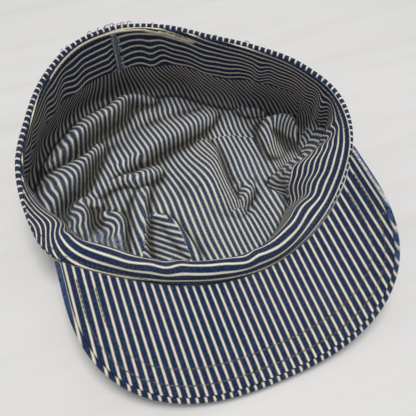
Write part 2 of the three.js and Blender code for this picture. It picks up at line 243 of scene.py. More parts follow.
# Folds of the crown's cloth. Each is a ridge through a few places of the floor:
# x, y, height, and how far it runs out to the left and to the right of its line.
# The narrower side is steep and ends in a crease. The line is made smooth with
# FOLD_STEPS places for each of these, and the folds run into one another
FOLD_STEPS = 3
FOLD_BLEND = 4
FOLD_ROUNDNESS = 2.0
FOLDS = {
    "back_roll": [
        (-5, 91, 4, 4, 8), (-15, 92, 9, 4, 12), (-23, 89, 12, 4, 16),
        (-30, 82.5, 13, 4, 19), (-38.5, 78, 13, 4, 22), (-46.5, 75, 13, 4, 23),
        (-54, 71, 12.5, 4, 22), (-62, 66, 12, 4, 20), (-69.5, 62, 10, 4, 18),
        (-77, 58, 8, 4, 15), (-84, 55, 5, 4, 12),
    ],
    "left_roll": [
        (-51, 57, 4, 4, 7), (-56, 49, 9, 4, 10), (-60.5, 43, 12, 4, 15),
        (-66.5, 37, 13, 4, 21), (-71.5, 32, 13, 4, 26), (-77.5, 27, 13, 4, 28),
        (-82.5, 23.5, 12, 4, 27), (-88, 19, 11, 4, 24), (-93, 15, 8, 4, 20),
    ],
    "middle_step": [
        (34, 59.5, 3, 4, 12), (27, 53.5, 6, 4.5, 17), (18, 49.5, 9, 4.5, 23),
        (9.5, 47, 10, 5, 27), (1.5, 45, 10.5, 5, 28), (-6.5, 43, 10.5, 5, 29),
        (-14, 41, 10.5, 5, 29), (-22, 38.5, 10, 5, 28), (-29.5, 36.5, 9.5, 5, 26),
        (-36.5, 34.5, 8.5, 5, 24), (-43, 32, 7, 4.5, 20), (-50, 29, 5, 4.5, 16),
        (-57, 25, 3, 4, 12),
    ],
    "lower_step": [
        (-20, 23, 3, 3.5, 9), (-24.5, 20, 6.5, 3.5, 12), (-28.5, 19.5, 7, 3.5, 13),
        (-33.5, 19, 6.5, 3.5, 12), (-38, 20.5, 6, 3.5, 11), (-43, 22.5, 5.5, 3.5, 10),
        (-48, 23, 5, 3.5, 9), (-53, 23, 4.5, 3.5, 9), (-59, 21.5, 4, 3.5, 8),
        (-65, 19, 2.5, 3.5, 7),
    ],
    "left_step": [
        (-63.5, 13.5, 2, 4, 7), (-69.5, 14.5, 4.5, 3.5, 9), (-72, 11.5, 6, 3.5, 12),
        (-72.5, 7, 6, 3.5, 13), (-74, 1, 5, 3.5, 12), (-75.5, -5, 3, 3.5, 9),
    ],
    "front_left_step": [
        (-60, 2, 2, 4, 6), (-56.5, 0, 3.5, 3.5, 9), (-53.5, -3, 5, 3.5, 12),
        (-53, -7, 5.5, 3.5, 13), (-54.5, -12.5, 5, 3.5, 12), (-57, -18, 4, 3.5, 10),
        (-60, -24, 2, 3.5, 8),
    ],
    "middle_ridge": [
        (19.5, 36, 1.5, 4, 12), (20.5, 25, 4.5, 3.5, 22), (19, 14, 6.5, 3.5, 28),
        (18, 3, 6.5, 3.5, 28), (18, -7, 5.5, 3.5, 22), (19, -18, 4.5, 3.5, 12),
        (19, -25, 2.5, 3.5, 6),
    ],
    "front_pucker": [
        (34, -8, 2, 4, 6), (30, -15, 4.5, 4, 7), (24, -20, 4.5, 4, 6), (20, -25, 2, 4, 5),
    ],
    "back_step": [
        (83.5, 56, 5, 4, 14), (75, 52.5, 7, 4, 18), (66.5, 51.5, 7, 4, 20),
        (60, 56, 6, 4, 18), (54.5, 62, 4.5, 4, 15), (49.5, 69.5, 2.5, 4, 12),
    ],
    "pouch_top": [
        (108, 18, 10, 10, 4), (101, 20, 13, 13, 4), (94, 22, 14, 15, 4),
        (87, 24.5, 14, 16, 4), (81, 28, 13, 15, 4.5), (75, 31.5, 12, 13, 5),
        (68, 34, 9, 10, 5),
    ],
    "pouch_side": [
        (68, 33, 8, 10, 5), (63, 29, 7, 12, 5), (61, 21.5, 5, 12, 5),
        (61.5, 12.5, 3, 10, 5),
    ],
    "front_seam": [
        (-31, 12, 2, 2.5, 6), (-34.5, 4.5, 4, 2.5, 9), (-37, -3, 5, 2.5, 11),
        (-38.5, -10, 5.5, 2.5, 12), (-41.5, -18, 5.5, 2.5, 12), (-44, -26, 5, 2.5, 11),
        (-45, -33, 3, 2.5, 9),
    ],
    "flap_edge": [
        (-33, -9, 1.5, 3, 4), (-25, -15.5, 3, 3, 6), (-21.5, -25, 3, 3, 7),
        (-18.5, -37.5, 3, 3, 7), (-17.5, -45, 1.5, 3, 5),
    ],
}

# How far, in mm, the stripes are drawn sideways over the long side of a fold, how close
# to the fold's line a place counts as on it, and where the draw begins and ends
SKEWS = {"back_roll": 6.0, "left_roll": 7.0, "middle_step": 3.0, "pouch_top": -4.0}
SKEW_REACH = 3.0
SKEW_POWER = 4
SKEW_BEGINS = 0.3
SKEW_ENDS = 0.15

# The tuck in the middle of the floor: its line from front to back, y before x, the
# stripes that it swallows and its width. It begins at TUCK_BACK, takes all of its
# stripes from TUCK_FULL on, and is shut from TUCK_FRONT on. The stripes are drawn in
# from either side: by what share, and from where to where
TUCK = [(-70, 19.5), (-26, 19.5), (-18, 19), (-7, 18), (3, 18), (14, 19.5), (38, 19.5)]
TUCK_BACK = 38.0
TUCK_FRONT = -24.0
TUCK_FULL = -4.0
TUCK_STRIPES = 3
TUCK_WIDTH = 15.0
TUCK_FROM_LEFT = 0.7
TUCK_FROM_RIGHT = 0.3
TUCK_LEFT = (-62, 15)
TUCK_RIGHT = (30, 85)

# Pouch whose stripes draw together towards the front: left side, front and back in mm,
# how much closer they lie at its back and at its front, and how it fades out there
POUCH = (58, -12, 36)
POUCH_CLOSER = (1.1, 2.3)
POUCH_FADE = (14, 10)

# Puckers where the stripes are turned on the spot: x, y, radius in mm, and degrees
SWIRLS = [
    (-77, 9, 11, 38), (-60, -4, 12, 40), (-31, 27, 10, 30), (-42, 28, 8, 22),
    (-66, 18, 7, 15), (24, -22, 8, -35), (28, -12, 7, 25), (78, 27, 13, -38),
    (72, 9, 13, 24), (56, 72, 13, 16), (78, 58, 12, -22), (-80, 42, 18, 12),
    (-35, 88, 12, 14), (-62, 76, 12, 14),
]
SWIRL_POWER = 1.5

# Seam across the floor where the stripes shift by a part of their distance. The shift
# fades between two distances in front of the seam, and over SEAM_END at its ends, in mm
CROSS_SEAM = [(10, 44.5), (14, 40), (20, 38.5), (32, 38), (43, 35.5), (48, 32), (58, 26)]
SEAM_JUMP = 0.5
SEAM_FADE = (2.0, 26.0)
SEAM_END = 6.0

# Panels of the floor that are sewn in with their stripes at another angle: degrees by
# which the stripes turn, and corners
FRONT_FLAP = [(-37, -10), (-32, -9), (-27, -11), (-21, -25), (-20, -46), (-47, -36)]
RIGHT_PANEL = [
    (88, 17), (100, 12), (90, -3), (75, -17), (64, -26), (59, -12), (66, -3), (76, 6)
]
PANELS = [(46, FRONT_FLAP), (28, RIGHT_PANEL)]

# Small soft unevenness of cloth that lies on a table: waves along x and along y in
# radians for each mm, size in mm, and start in radians
RIPPLES = [
    (0.16, 0.05, 0.35, 1.0),
    (-0.07, 0.14, 0.3, 2.3),
    (0.21, -0.17, 0.16, 0.4),
    (0.05, 0.29, 0.14, 4.4),
    (0.33, 0.12, 0.08, 5.2),
]

# Painted shade on the crown's cloth, in its creases, on steep slopes, on its wall and at
# its back under the band: rounds and step of smoothing, depth in mm of a broad and of a
# narrow crease, slopes between which it grows and the shortest run in mm that a slope is
# taken over, what the wall, the slopes and the back take, and from and to where the back
# does, in mm
SMOOTH_ROUNDS = 6
NARROW_ROUNDS = 2
SMOOTH_STEP = 3
BROAD_CREASE = 1.8
NARROW_CREASE = 0.6
SHADED_SLOPES = (0.6, 2.6)
SHORTEST_RUN = 0.2
WALL_SHADE = 0.15
SLOPE_SHADE = 0.7
BACK_SHADE = 0.1
BACK_FROM_TO = (66, 100)

# Stitches, in mm: distance of the peak's rows from its edge, depth to which they pull
# the cloth in and half the width of that groove; length, space, thickness, and how far
# they stand up and dip in. Then where the rows begin and end, as shares, and their
# points; the share of its thickness that is left at a thread's tip, when a thread counts
# as upright, and a stitch's height near its ends as a share of its middle's
STITCH_LINES = (8.2, 16.4)
STITCH_SINK = 0.45
STITCH_GROOVE = 1.1
PEAK_STITCH = {"length": 2.6, "space": 0.25, "lift": 0.28, "sink": 0.2}
PEAK_THREAD = 0.36
RIM_STITCH_AT = 3.4
RIM_STITCH = {"length": 2.4, "space": 0.5, "lift": 0.12, "sink": 0.3}
RIM_THREAD = 0.2
RIM_STITCHES = (0.02, 1.02, 2400)
PEAK_STITCHES = (-0.985, 0.985, 500)
THREAD_POINT = 0.35
UPRIGHT_THREAD = 0.9
SHOULDER = 0.7

# The sweatband's end, lapped over its start at the back: from how far down, its width
# in shares of the way round, its thickness and curve in mm, and the waves down its
# edge, in its width and in its lift
LAP_TOP = 2.5
LAP_WIDTH = 0.009
LAP_CLOTH = 0.9
LAP_CURVE = 0.6
LAP_EDGE_WAVES = [(0.9, 0.0012, 0), (3.7, 0.0006, 1)]
LAP_WIDTH_WAVES = [(0.75, 0.0024, 1)]
LAP_LIFT_WAVES = [(0.9, 0.25, 0)]

# The tape along the rim: where it starts and ends, is torn and hangs, and where it gets
# narrow at its ends, as shares of the way round; its place, half width, thickness and
# lift in mm, its sag where it's torn, and the waves of its torn edge and of its curl
TAPE_START = 0.385
TAPE_END = 0.186
TAPE_TORN = 0.25
TAPE_TORN_OVER = 0.02
TAPE_HANGS = 0.225
TAPE_HANGS_OVER = 0.03
TAPE_TIP = (-0.002, 0.006)
TAPE_BEGINNING = (-0.005, 0.015)
TAPE_DOWN = 1.9
TAPE_HALF = 0.75
TAPE_LEAST = 0.12
TAPE_CLOTH = 0.6
TAPE_LIFT = 0.35
TAPE_SAG = 2.2
TAPE_HANG = 2.6
TAPE_TEARS = [(700, 0.3, 0), (1630, 0.25, 0)]
TAPE_CURLS = [(420, 0.25, 0)]

# Frayed yarns of the rim: shares of the way round; the ranges of their length as a share
# of half a turn, of their reach in mm and of their lean; how far ahead the rim's line is
# taken; thickness and place at the rim in mm, and how much taller than wide they are
FRAYS = [0.262, 0.268, 0.27, 0.276, 0.281, 0.283, 0.29, 0.292, 0.3, 0.312, 0.345, 0.352]
FRAYS += [0.235, 0.39, 0.42, 0.16, 0.12]
FRAY_SEED = 7
FRAY_ARC = (0.6, 1.0)
FRAY_REACH = (0.9, 1.7)
FRAY_LEAN = (-0.8, 0.8)
FRAY_AHEAD = 0.002
FRAY_THREAD = 0.2
FRAY_BEHIND = 1.6
FRAY_DOWN = 0.3
FRAY_TALL = 1.9

# The loose loop of thread: from and to as shares of the way round, height, twist, the
# place of its ends, how far it goes up over them, and thickness
LOOP_FROM_TO = (0.612, 0.634)
LOOP_HEIGHT = 2.6
LOOP_TWIST = 0.4
LOOP_TWIST_TURNS = 7
LOOP_DOWN = 1.0
LOOP_UP = 0.6
LOOP_BEHIND = 1.8
LOOP_THREAD = 0.3

# Colours from 0 to 255 in sRGB
NAVY = (5, 16, 42)
NAVY_LIGHT = (38, 66, 110)
CREAM = (246, 236, 212)
# The peak's cream is the band's cream made a little darker: painted shade
PEAK_PAINTED_SHADE_CREAM = (238, 228, 205)
THREAD_GREYS = ((116, 108, 94), (70, 66, 60))
TAPE_CREAMS = ((238, 228, 202), (186, 172, 140))
YARN_BLUES = ((96, 118, 150), (24, 40, 78))
PEAK_FADED = (72, 102, 146)
FADED = (120, 134, 150)
INSIDE_NAVY = (22, 35, 60)
INSIDE_NAVY_LIGHT = (74, 93, 125)
INSIDE_CREAM = (240, 234, 216)
WORN_NAVY = (52, 74, 108)
WORN_NAVY_LIGHT = (150, 166, 186)
WORN_CREAM = (222, 214, 194)
# Painted shade: the colour by which the crown's creases, slopes, wall and back are darkened
CREASE_SHADE_TINT = (104, 96, 74)
DUST = (150, 148, 140)
SPOT_COLOUR = (142, 112, 78)
TABLE_PALE = (220, 218, 215)
TABLE_GREY = (213, 211, 206)
SKY = (0.93, 0.95, 1.0, 1)

# Cloth: yarns and twill steps in a stripe, how soft a stripe's edge is, how rough and
# glossy the cloth is, where its speckles and patches begin and end in their noise, how
# much shade the cream yarns get, how far cream stripes are raised, the depth of the
# weave in metres, and the small spot on the peak: its place and ends in metres
YARNS = 10.0
TWILL_STEPS = 4.5
SOFT_EDGE = 0.04
CLOTH_SURFACE = {
    "Roughness": 0.88,
    "Specular IOR Level": 0.14,
    "Sheen Weight": 0.07,
    "Sheen Roughness": 0.6,
}
THREAD_SURFACE = {"Roughness": 0.8, "Specular IOR Level": 0.25}
TABLE_SURFACE = {"Roughness": 0.6}
SPECKLE = (0.42, 0.62)
SHADED_YARNS = (0.35, 0.7)
SHADED_SHARE = 0.35
SHADED_CREAM = 0.8
DUST_PATCHES = (0.35, 0.75)
WORN_PATCHES = (0.4, 0.55)
TWIST_SHADES = (0.35, 0.65)
TABLE_STREAKS = (0.3, 0.8)
STRIPE_RAISED = 0.8
WEAVE_DEPTH = 0.00012
TWIST_DEPTH = 0.0001
SPOT = (0.0798, -0.0672, 0.0392)
SPOT_ENDS = (0.0007, 0.0012)

# Camera, light and room, in metres, degrees and watts
CAMERA_PLACE = (-0.04865, -0.14245, 0.2245)
CAMERA_PITCH = 33.0
CAMERA_TURN = -21.4
CAMERA_LENS = 36.0
FLOOR_HALF = 3.0
WINDOW_PLACE = (0.04, 0.02, 1.12)
WINDOW_SIZE = 0.45
WINDOW_POWER = 8.6
ROOM_LIGHT = 0.46


def smoothstep(value, low, high):
    share = np.clip((value - low) / (high - low), 0, 1)
    return share * share * (3 - 2 * share)


def bell(value, centre, width, power=2):
    """One at the centre, fading to nothing over the width."""
    return np.exp(-(((value - centre) / width) ** power))


def waves(table, turn):
    """Sum of the waves of a table: how many or how close, size, and start."""
    return sum(size * np.sin(count * turn + start) for count, size, start in table)


def lengths(line):
    """Distance from the start of a line of points to each of them."""
    steps = np.linalg.norm(np.diff(line, axis=0), axis=1)
    return np.concatenate([[0], np.cumsum(steps)])


# The peak is one bent sheet: its cross-section bends, and its length runs straight


def peak_bend(across):
    share = across / PEAK_HALF
    degrees = (
        PEAK_BEND["level"]
        + PEAK_BEND["linear"] * share
        + PEAK_BEND["square"] * share**2
        + PEAK_BEND["cubic"] * share**3
    )
    return np.radians(degrees)


def peak_point(across, back, off):
    across, back, off = np.broadcast_arrays(
        *(np.asarray(v, float) for v in (across, back, off))
    )
    x = np.zeros(across.shape)
    rise = np.zeros(across.shape)
    step = across / ARC_STEPS
    for i in range(ARC_STEPS):
        bend = peak_bend((i + 0.5) * step)
        x += np.cos(bend) * step
        rise += np.sin(bend) * step
    x -= off * np.sin(peak_bend(across))
    rise += off * np.cos(peak_bend(across))
    y = back * math.cos(PEAK_SLOPE) - rise * math.sin(PEAK_SLOPE) - PEAK_SETBACK
    z = back * math.sin(PEAK_SLOPE) + rise * math.cos(PEAK_SLOPE) + PEAK_LIFT
    return np.stack([x, y, z], axis=-1)


def seam_back(across, room):
    """Place of the seam on the flat peak, pushed back further on the left."""
    share = across / PEAK_HALF
    push = PEAK_SEAM_SHIFT * (1 - share**2) * (1 - share) ** PEAK_SEAM_SKEW
    arc_back = np.sqrt((PEAK_SEAM_RADIUS + room) ** 2 - across**2)
    return PEAK_SEAM_RADIUS - arc_back + push


def peak_flat(side, out, inset):
    """Place on the flat peak; side from -1 to 1, out from the seam to the edge."""
    side, out, inset = np.broadcast_arrays(
        *(np.asarray(v, float) for v in (side, out, inset))
    )
    half = PEAK_HALF - inset
    seam = seam_back(side * half, SEAM_ROOM)
    corner = seam_back(half, SEAM_ROOM)
    side_end = corner - PEAK_SIDE
    depth = PEAK_DEPTH - inset + side_end
    angle = (math.pi / 2) * np.minimum(np.abs(side) / (1 - SIDE_SHARE), 1)
    power = 2 / PEAK_ROUNDNESS
    edge_across = half * np.sin(angle) ** power
    edge_back = side_end - depth * np.maximum(np.cos(angle), 0) ** power
    straight = np.abs(side) > 1 - SIDE_SHARE
    edge_across = np.where(straight, half, edge_across)
    straight_back = corner - PEAK_SIDE * (1 - np.abs(side)) / SIDE_SHARE
    edge_back = np.where(straight, straight_back, edge_back)
    across = side * half * (1 - out) + np.sign(side) * edge_across * out
    back = seam * (1 - out) + edge_back * out
    return across, back


def peak_face(side, out, inset, off):
    across, back = peak_flat(side, out, inset)
    return peak_point(across, back, off)


# The rim and the two layers of the band


def rim_rows():
    rows = []
    for bearing, reach, rise, rim_lean, low_lean in FREE_RIM:
        angle = math.radians(bearing)
        x = reach * MEAN_RADIUS * math.cos(angle)
        y = reach * MEAN_RADIUS * math.sin(angle)
        rows.append([x, y, rise * RIM_HEIGHT, rim_lean, low_lean])
    for across, rim_lean, low_lean in SEAM_RIM:
        place = across * PEAK_HALF
        x, y, z = peak_point(place, seam_back(place, 0), 0)
        rows.append([x, y, z, rim_lean, low_lean])
    return np.array(rows)


RIM_ROWS = rim_rows()


def rim_row(u):
    """The smooth closed curve through the rows, at shares u of the way round."""
    count = len(RIM_ROWS)
    place = (u - np.floor(u)) * count
    first = np.floor(place).astype(int)
    t = (place - first)[..., None]
    a, b, c, d = (RIM_ROWS[(first + i) % count] for i in (-1, 0, 1, 2))
    bend = 2 * a - 5 * b + 4 * c - d + t * (3 * b - 3 * c + d - a)
    return b + 0.5 * t * (c - a + t * bend)


def inwards(u):
    before = rim_row(u - NEAR_ROUND)
    after = rim_row(u + NEAR_ROUND)
    flat = np.stack(
        [
            before[..., 1] - after[..., 1],
            after[..., 0] - before[..., 0],
            np.zeros(np.shape(u)),
        ],
        axis=-1,
    )
    return flat / np.linalg.norm(flat, axis=-1, keepdims=True)


def crease_waves(u):
    """The creases at shares u of the way round: bulge in mm, and swing in stripes."""
    bulge = np.zeros(np.shape(u))
    swing = np.zeros(np.shape(u))
    for centre, half, tall, swung, count in CREASES:
        gap = (u - centre + 0.5) % 1 - 0.5
        share = np.clip(np.abs(gap) / half, 0, 1)
        fade = (1 - share**2) ** 2
        turn = math.pi * count * gap / half
        bulge = bulge + tall * fade * np.cos(turn)
        swing = swing + swung * fade * np.sin(turn)
    return bulge, swing


def band_wave(u, distance):
    """How far the band's soft lower part waves in and out."""
    share = distance / BAND_HEIGHT
    turn = 2 * math.pi * u
    count, size, start = LOW_WAVE
    low = size * np.sin(count * turn + LOW_WAVE_TWIST * share + start)
    wave = waves(BAND_WAVES, turn) + low * smoothstep(share, *LOW_WAVE_GROWS)
    bulge, _ = crease_waves(u - CREASE_SLANT * share)
    grown = smoothstep(share, *BAND_WAVES_GROW)
    return wave * grown + bulge * smoothstep(share, *CREASES_GROW)


def band_place(u, distance):
    """Point between the layers, and the directions down, headwards and inwards."""
    u, distance = np.broadcast_arrays(np.asarray(u, float), np.asarray(distance, float))
    row = rim_row(u)
    into = inwards(u)
    point = row[..., :3].copy()
    rim_lean = row[..., 3]
    low_lean = row[..., 4]

    def lean(at):
        share = smoothstep(at, TURN_FROM * BAND_HEIGHT, TURN_TO * BAND_HEIGHT)
        return np.radians(rim_lean + (low_lean - rim_lean) * share)

    step = distance / ARC_STEPS
    for i in range(ARC_STEPS):
        angle = lean((i + 0.5) * step)
        point += into * (np.sin(angle) * step)[..., None]
        point[..., 2] -= np.cos(angle) * step
    angle = lean(distance)[..., None]
    up = np.array([0.0, 0.0, 1.0])
    down = into * np.sin(angle) - up * np.cos(angle)
    headwards = into * np.cos(angle) + up * np.sin(angle)
    point = point + headwards * band_wave(u, distance)[..., None]
    return point, down, headwards, into


def band_point(u, distance, off):
    point, _, headwards, _ = band_place(u, distance)
    return point + headwards * np.asarray(off, float)[..., None]


# The crown: a wall that hangs from the bands and a floor that lies on the table


def catmull(rows, t):
    """Rows of numbers on a smooth open curve through the given rows; t from 0 to 1."""
    rows = np.asarray(rows, float)
    rows = np.vstack([2 * rows[0] - rows[1], rows, 2 * rows[-1] - rows[-2]])
    place = np.asarray(t) * (len(rows) - 3)
    first = np.minimum(np.floor(place).astype(int), len(rows) - 4)
    share = (place - first)[:, None]
    a, b, c, d = (rows[first + i] for i in range(4))
    bend = 2 * a - 5 * b + 4 * c - d + share * (3 * b - 3 * c + d - a)
    return b + 0.5 * share * (c - a + share * bend)


def fold_line(fold):
    """Smooth line of a fold: x, y, height, and reach to the left and to the right."""
    return catmull(fold, np.linspace(0, 1, FOLD_STEPS * len(fold)))


def from_line(start, end, x, y):
    """Share of a line where a place is nearest, the gap from there, and its direction."""
    line = end[:2] - start[:2]
    length = np.hypot(*line)
    gap_x, gap_y = x - start[0], y - start[1]
    along = np.clip((gap_x * line[0] + gap_y * line[1]) / length**2, 0, 1)
    return along, gap_x - along * line[0], gap_y - along * line[1], line / length


def ridge_height(fold, x, y):
    """Height of one fold's ridge, rounded on top and level where it runs out."""
    rows = fold_line(fold)
    height = np.zeros(np.shape(x))
    for start, end in zip(rows[:-1], rows[1:]):
        along, gap_x, gap_y, unit = from_line(start, end, x, y)
        gap = np.hypot(gap_x, gap_y)
        side = (unit[0] * gap_y - unit[1] * gap_x) / np.maximum(gap, 1e-6)
        here = start[:, None] + (end - start)[:, None] * along.reshape(1, -1)
        tall, left, right = (v.reshape(np.shape(x)) for v in here[2:])
        to_left = (1 + side) / 2
        share = np.minimum(gap / (right + (left - right) * to_left), 1)
        steep = np.where(left < right, to_left, 1 - to_left)
        height = np.maximum(height, tall * (1 - share**2) ** (FOLD_ROUNDNESS - steep))
    return height


def fold_skew(x, y):
    """Sideways draw of the stripes behind the crests of the skewed folds."""
    total = np.zeros(np.shape(x))
    for name, draw in SKEWS.items():
        rows = fold_line(FOLDS[name])
        weights = np.zeros(np.shape(x))
        drawn = np.zeros(np.shape(x))
        for k, (start, end) in enumerate(zip(rows[:-1], rows[1:])):
            along, gap_x, gap_y, unit = from_line(start, end, x, y)
            weight = 1 / (gap_x**2 + gap_y**2 + SKEW_REACH**2) ** SKEW_POWER
            behind = unit[1] * gap_x - unit[0] * gap_y
            right = start[4] + (end[4] - start[4]) * along
            place = (k + along) / (len(rows) - 1)
            ends = smoothstep(place, 0, SKEW_BEGINS) * smoothstep(1 - place, 0, SKEW_ENDS)
            weights += weight
            drawn += weight * ends * np.clip(behind / right, 0, 1)
        total = total + draw * drawn / weights
    return total


def turned(across, along, angle):
    """Flat coordinates after a turn of the stripes by an angle in radians."""
    cos, sin = np.cos(angle), np.sin(angle)
    return across * cos + along * sin, along * cos - across * sin


def swirled(across, along, x, y):
    """Flat coordinates turned on the spot by the puckers that lie at x and y."""
    for x0, y0, radius, degrees in SWIRLS:
        gap = np.hypot(x - x0, y - y0)
        middle = np.unravel_index(np.argmin(gap), x.shape)
        fade = (1 - np.minimum(gap / radius, 1) ** 2) ** SWIRL_POWER
        across0, along0 = across[middle], along[middle]
        angle = math.radians(degrees) * fade
        across, along = turned(across - across0, along - along0, angle)
        across, along = across + across0, along + along0
    return across, along


def pouch_draw(x, y):
    """Sideways draw of the stripes that come together in the pouch."""
    side, front, back = POUCH
    far, near = POUCH_CLOSER
    closer = near + (far - near) * smoothstep(y, front, back)
    behind, before = POUCH_FADE
    fade = 1 - smoothstep(y, back, back + behind)
    fade = fade * smoothstep(y, front - before, front)
    return np.maximum(x - side, 0) * (closer - 1) * fade


def tuck_line(y):
    return np.interp(y, *zip(*TUCK))


def tuck_draw(x, y, hard):
    """Sideways draw beside the tuck; hard is None, or tells the side where it's shut."""
    open_share = smoothstep(TUCK_BACK - y, 0, TUCK_BACK - TUCK_FULL)
    taken = TUCK_STRIPES * CROWN_PITCH * open_share
    left = -TUCK_FROM_LEFT * taken * smoothstep(x, *TUCK_LEFT)
    right = TUCK_FROM_RIGHT * taken * (1 - smoothstep(x, *TUCK_RIGHT))
    over = smoothstep(x - tuck_line(y), -TUCK_WIDTH / 2, TUCK_WIDTH / 2)
    if hard is not None:
        over = np.where(y < TUCK_FRONT, hard, over)
    return left * (1 - over) + right * over


def fold_height(x, y):
    x, y = np.atleast_1d(np.asarray(x, float)), np.atleast_1d(np.asarray(y, float))
    total = np.zeros(x.shape)
    for fold in FOLDS.values():
        places = np.array(fold)
        reach = places[:, 3:].max()
        low = places[:, :2].min(axis=0) - reach
        high = places[:, :2].max(axis=0) + reach
        near = (x > low[0]) & (x < high[0]) & (y > low[1]) & (y < high[1])
        if near.any():
            total[near] += ridge_height(fold, x[near], y[near]) ** FOLD_BLEND
    return total ** (1 / FOLD_BLEND)


def ripples(x, y):
    """Small soft unevenness, nowhere below the table."""
    total = sum(a * np.sin(kx * x + ky * y + p) for kx, ky, a, p in RIPPLES)
    return total + sum(a for _, _, a, _ in RIPPLES)


def floor_height(x, y):
    return fold_height(x, y) + ripples(x, y)


def inset_share(u):
    """How much of the sloping panel's inset there is at shares u of the way round."""
    gap = np.abs((u - INSET_AT + 0.5) % 1 - 0.5)
    return (1 - np.minimum(gap / INSET_HALF, 1) ** 2) ** 2


def crown_foot(u):
    point, _, _, into = band_place(u, BAND_HEIGHT + HEM_GAP)
    width = FOOT_WIDTH + FOOT_INSET * inset_share(u)
    foot = point + into * width[..., None]
    foot[..., 2] = FLOOR_REST
    return foot


def pleats(u, t):
    """Gathers of the wall: fine ones under the band, and broad ones half way down."""
    turn = 2 * math.pi * u
    count, size = PLEATS_WANDER
    fine = np.sin(PLEATS * turn + size * np.sin(count * turn))
    fine = fine + waves([PLEATS_BETWEEN], turn)
    middle = np.sin(math.pi * t)
    small = PLEAT_DEPTH * fine * middle**0.5 * (1 - PLEAT_LOSS * t)
    return small + GATHER_DEPTH * np.cos(GATHERS * turn) * middle**2


def wall_point(u, t):
    point, down, _, into = band_place(u, BAND_HEIGHT + HEM_GAP)
    drop = np.maximum(point[..., 2] - FLOOR_REST, 0)[..., None]
    lower = point - into * CROWN_FULLNESS * drop
    lower[..., 2] = FLOOR_REST
    upper = point + down * drop / 2
    foot = crown_foot(u)
    sloping = inset_share(u)[..., None]
    slope = foot + np.array([0.0, 0.0, SLOPE_RISE]) * drop
    lower = lower + (slope - lower) * sloping
    upper = upper + (point - upper) * SLOPE_TOP * sloping
    t = np.asarray(t, float)[..., None]
    curve = (
        point * (1 - t) ** 3
        + 3 * upper * t * (1 - t) ** 2
        + 3 * lower * t**2 * (1 - t)
        + foot * t**3
    )
    depth = pleats(u, t[..., 0])[..., None] * np.minimum(drop / FOLD_HEIGHT, 1)
    return curve + into * depth


class FlatFloor:
    """Flat coordinates of the folded floor.

    The cloth isn't stretched, so its stripes turn where it folds. The gradient that
    each coordinate should have is known from the slope, and what fits it best is taken.
    HALF is half the width of the square in mm, LAST is just short of its last cell.
    """

    HALF = 125.0
    CELLS = 500
    LAST = CELLS - 1.001

    def __init__(self):
        self.step = 2 * self.HALF / self.CELLS
        line = -self.HALF + self.step * (np.arange(self.CELLS) + 0.5)
        x, y = np.meshgrid(line, line, indexing="ij")
        rise_x, rise_y = np.gradient(floor_height(x, y), self.step)
        up = 1 / np.sqrt(1 + rise_x**2 + rise_y**2)
        lean_x, lean_y = -rise_x * up, -rise_y * up
        shared = 1 / (up * (1 + up))
        both = lean_x * lean_y * shared
        self.fields = [
            self.fit(1 + lean_x**2 * shared, both),
            self.fit(both, 1 + lean_y**2 * shared),
        ]

    def fit(self, wx, wy):
        """The function whose slopes are nearest to wx and wy, zero at the middle."""
        n = self.CELLS
        fx = np.zeros((n + 1, n))
        fy = np.zeros((n, n + 1))
        fx[1:-1] = (wx[1:] + wx[:-1]) / 2
        fy[:, 1:-1] = (wy[:, 1:] + wy[:, :-1]) / 2
        source = (np.diff(fx, axis=0) + np.diff(fy, axis=1)) * self.step
        mirrored = np.block(
            [[source, source[:, ::-1]], [source[::-1], source[::-1, ::-1]]]
        )
        wave = 2 * np.cos(math.pi * np.arange(2 * n) / n) - 2
        scale = wave[:, None] + wave[None, :]
        scale[0, 0] = 1
        spectrum = np.fft.fft2(mirrored) / scale
        spectrum[0, 0] = 0
        fitted = np.fft.ifft2(spectrum).real[:n, :n]
        return fitted - fitted[n // 2, n // 2]

    def cell(self, place):
        """Cell in which a place lies, and its share of the way to the next."""
        found = np.clip((place + self.HALF) / self.step - 0.5, 0, self.LAST)
        number = np.floor(found).astype(int)
        return number, found - number

    def at(self, x, y):
        """Coordinates across and along the stripes at places of the floor."""
        i, fx = self.cell(x)
        j, fy = self.cell(y)
        found = []
        for f in self.fields:
            low = f[i, j] * (1 - fy) + f[i, j + 1] * fy
            high = f[i + 1, j] * (1 - fy) + f[i + 1, j + 1] * fy
            found.append(low * (1 - fx) + high * fx)
        return found


# Mesh helpers


def face_outwards(mesh):
    """Turns a closed mesh that is inside out."""
    shape = bmesh.new()
    shape.from_mesh(mesh)
    closed = all(edge.is_manifold for edge in shape.edges)
    if closed and shape.calc_volume(signed=True) < 0:
        bmesh.ops.reverse_faces(shape, faces=shape.faces)
        shape.to_mesh(mesh)
    shape.free()


def new_object(name, points, faces, uvs=None, slot=None):
    mesh = bpy.data.meshes.new(name)
    mesh.from_pydata(((points + ORIGIN) * MM).tolist(), [], faces)
    if uvs is not None:
        layer = mesh.uv_layers.new(name="stripes")
        layer.data.foreach_set("uv", np.asarray(uvs, np.float32).ravel())
    mesh.polygons.foreach_set("use_smooth", [True] * len(mesh.polygons))
    mesh.update()
    face_outwards(mesh)
    made = bpy.data.objects.new(name, mesh)
    bpy.context.scene.collection.objects.link(made)
    return made


def grid_faces(rows, columns, close_rows, close_columns):
    """Faces of a grid of points, and for each corner its place in the UV grid."""
    last_row = rows if close_rows else rows - 1
    last_column = columns if close_columns else columns - 1
    i, j = np.meshgrid(np.arange(last_row), np.arange(last_column), indexing="ij")
    corners_i = np.stack([i, i + 1, i + 1, i], axis=-1)
    corners_j = np.stack([j, j, j + 1, j + 1], axis=-1)
    index = (corners_i % rows) * columns + corners_j % columns
    return index.reshape(-1, 4), corners_i.reshape(-1, 4), corners_j.reshape(-1, 4)


def end_caps(rows, columns):
    """The two faces that close the ends of a tube of rows of points."""
    last = (rows - 1) * columns
    return [list(range(columns))[::-1], [last + j for j in range(columns)]]


def add_attribute(made, name, values):
    layer = made.data.attributes.new(name, "FLOAT", "POINT")
    layer.data.foreach_set("value", np.asarray(values, np.float32).ravel())


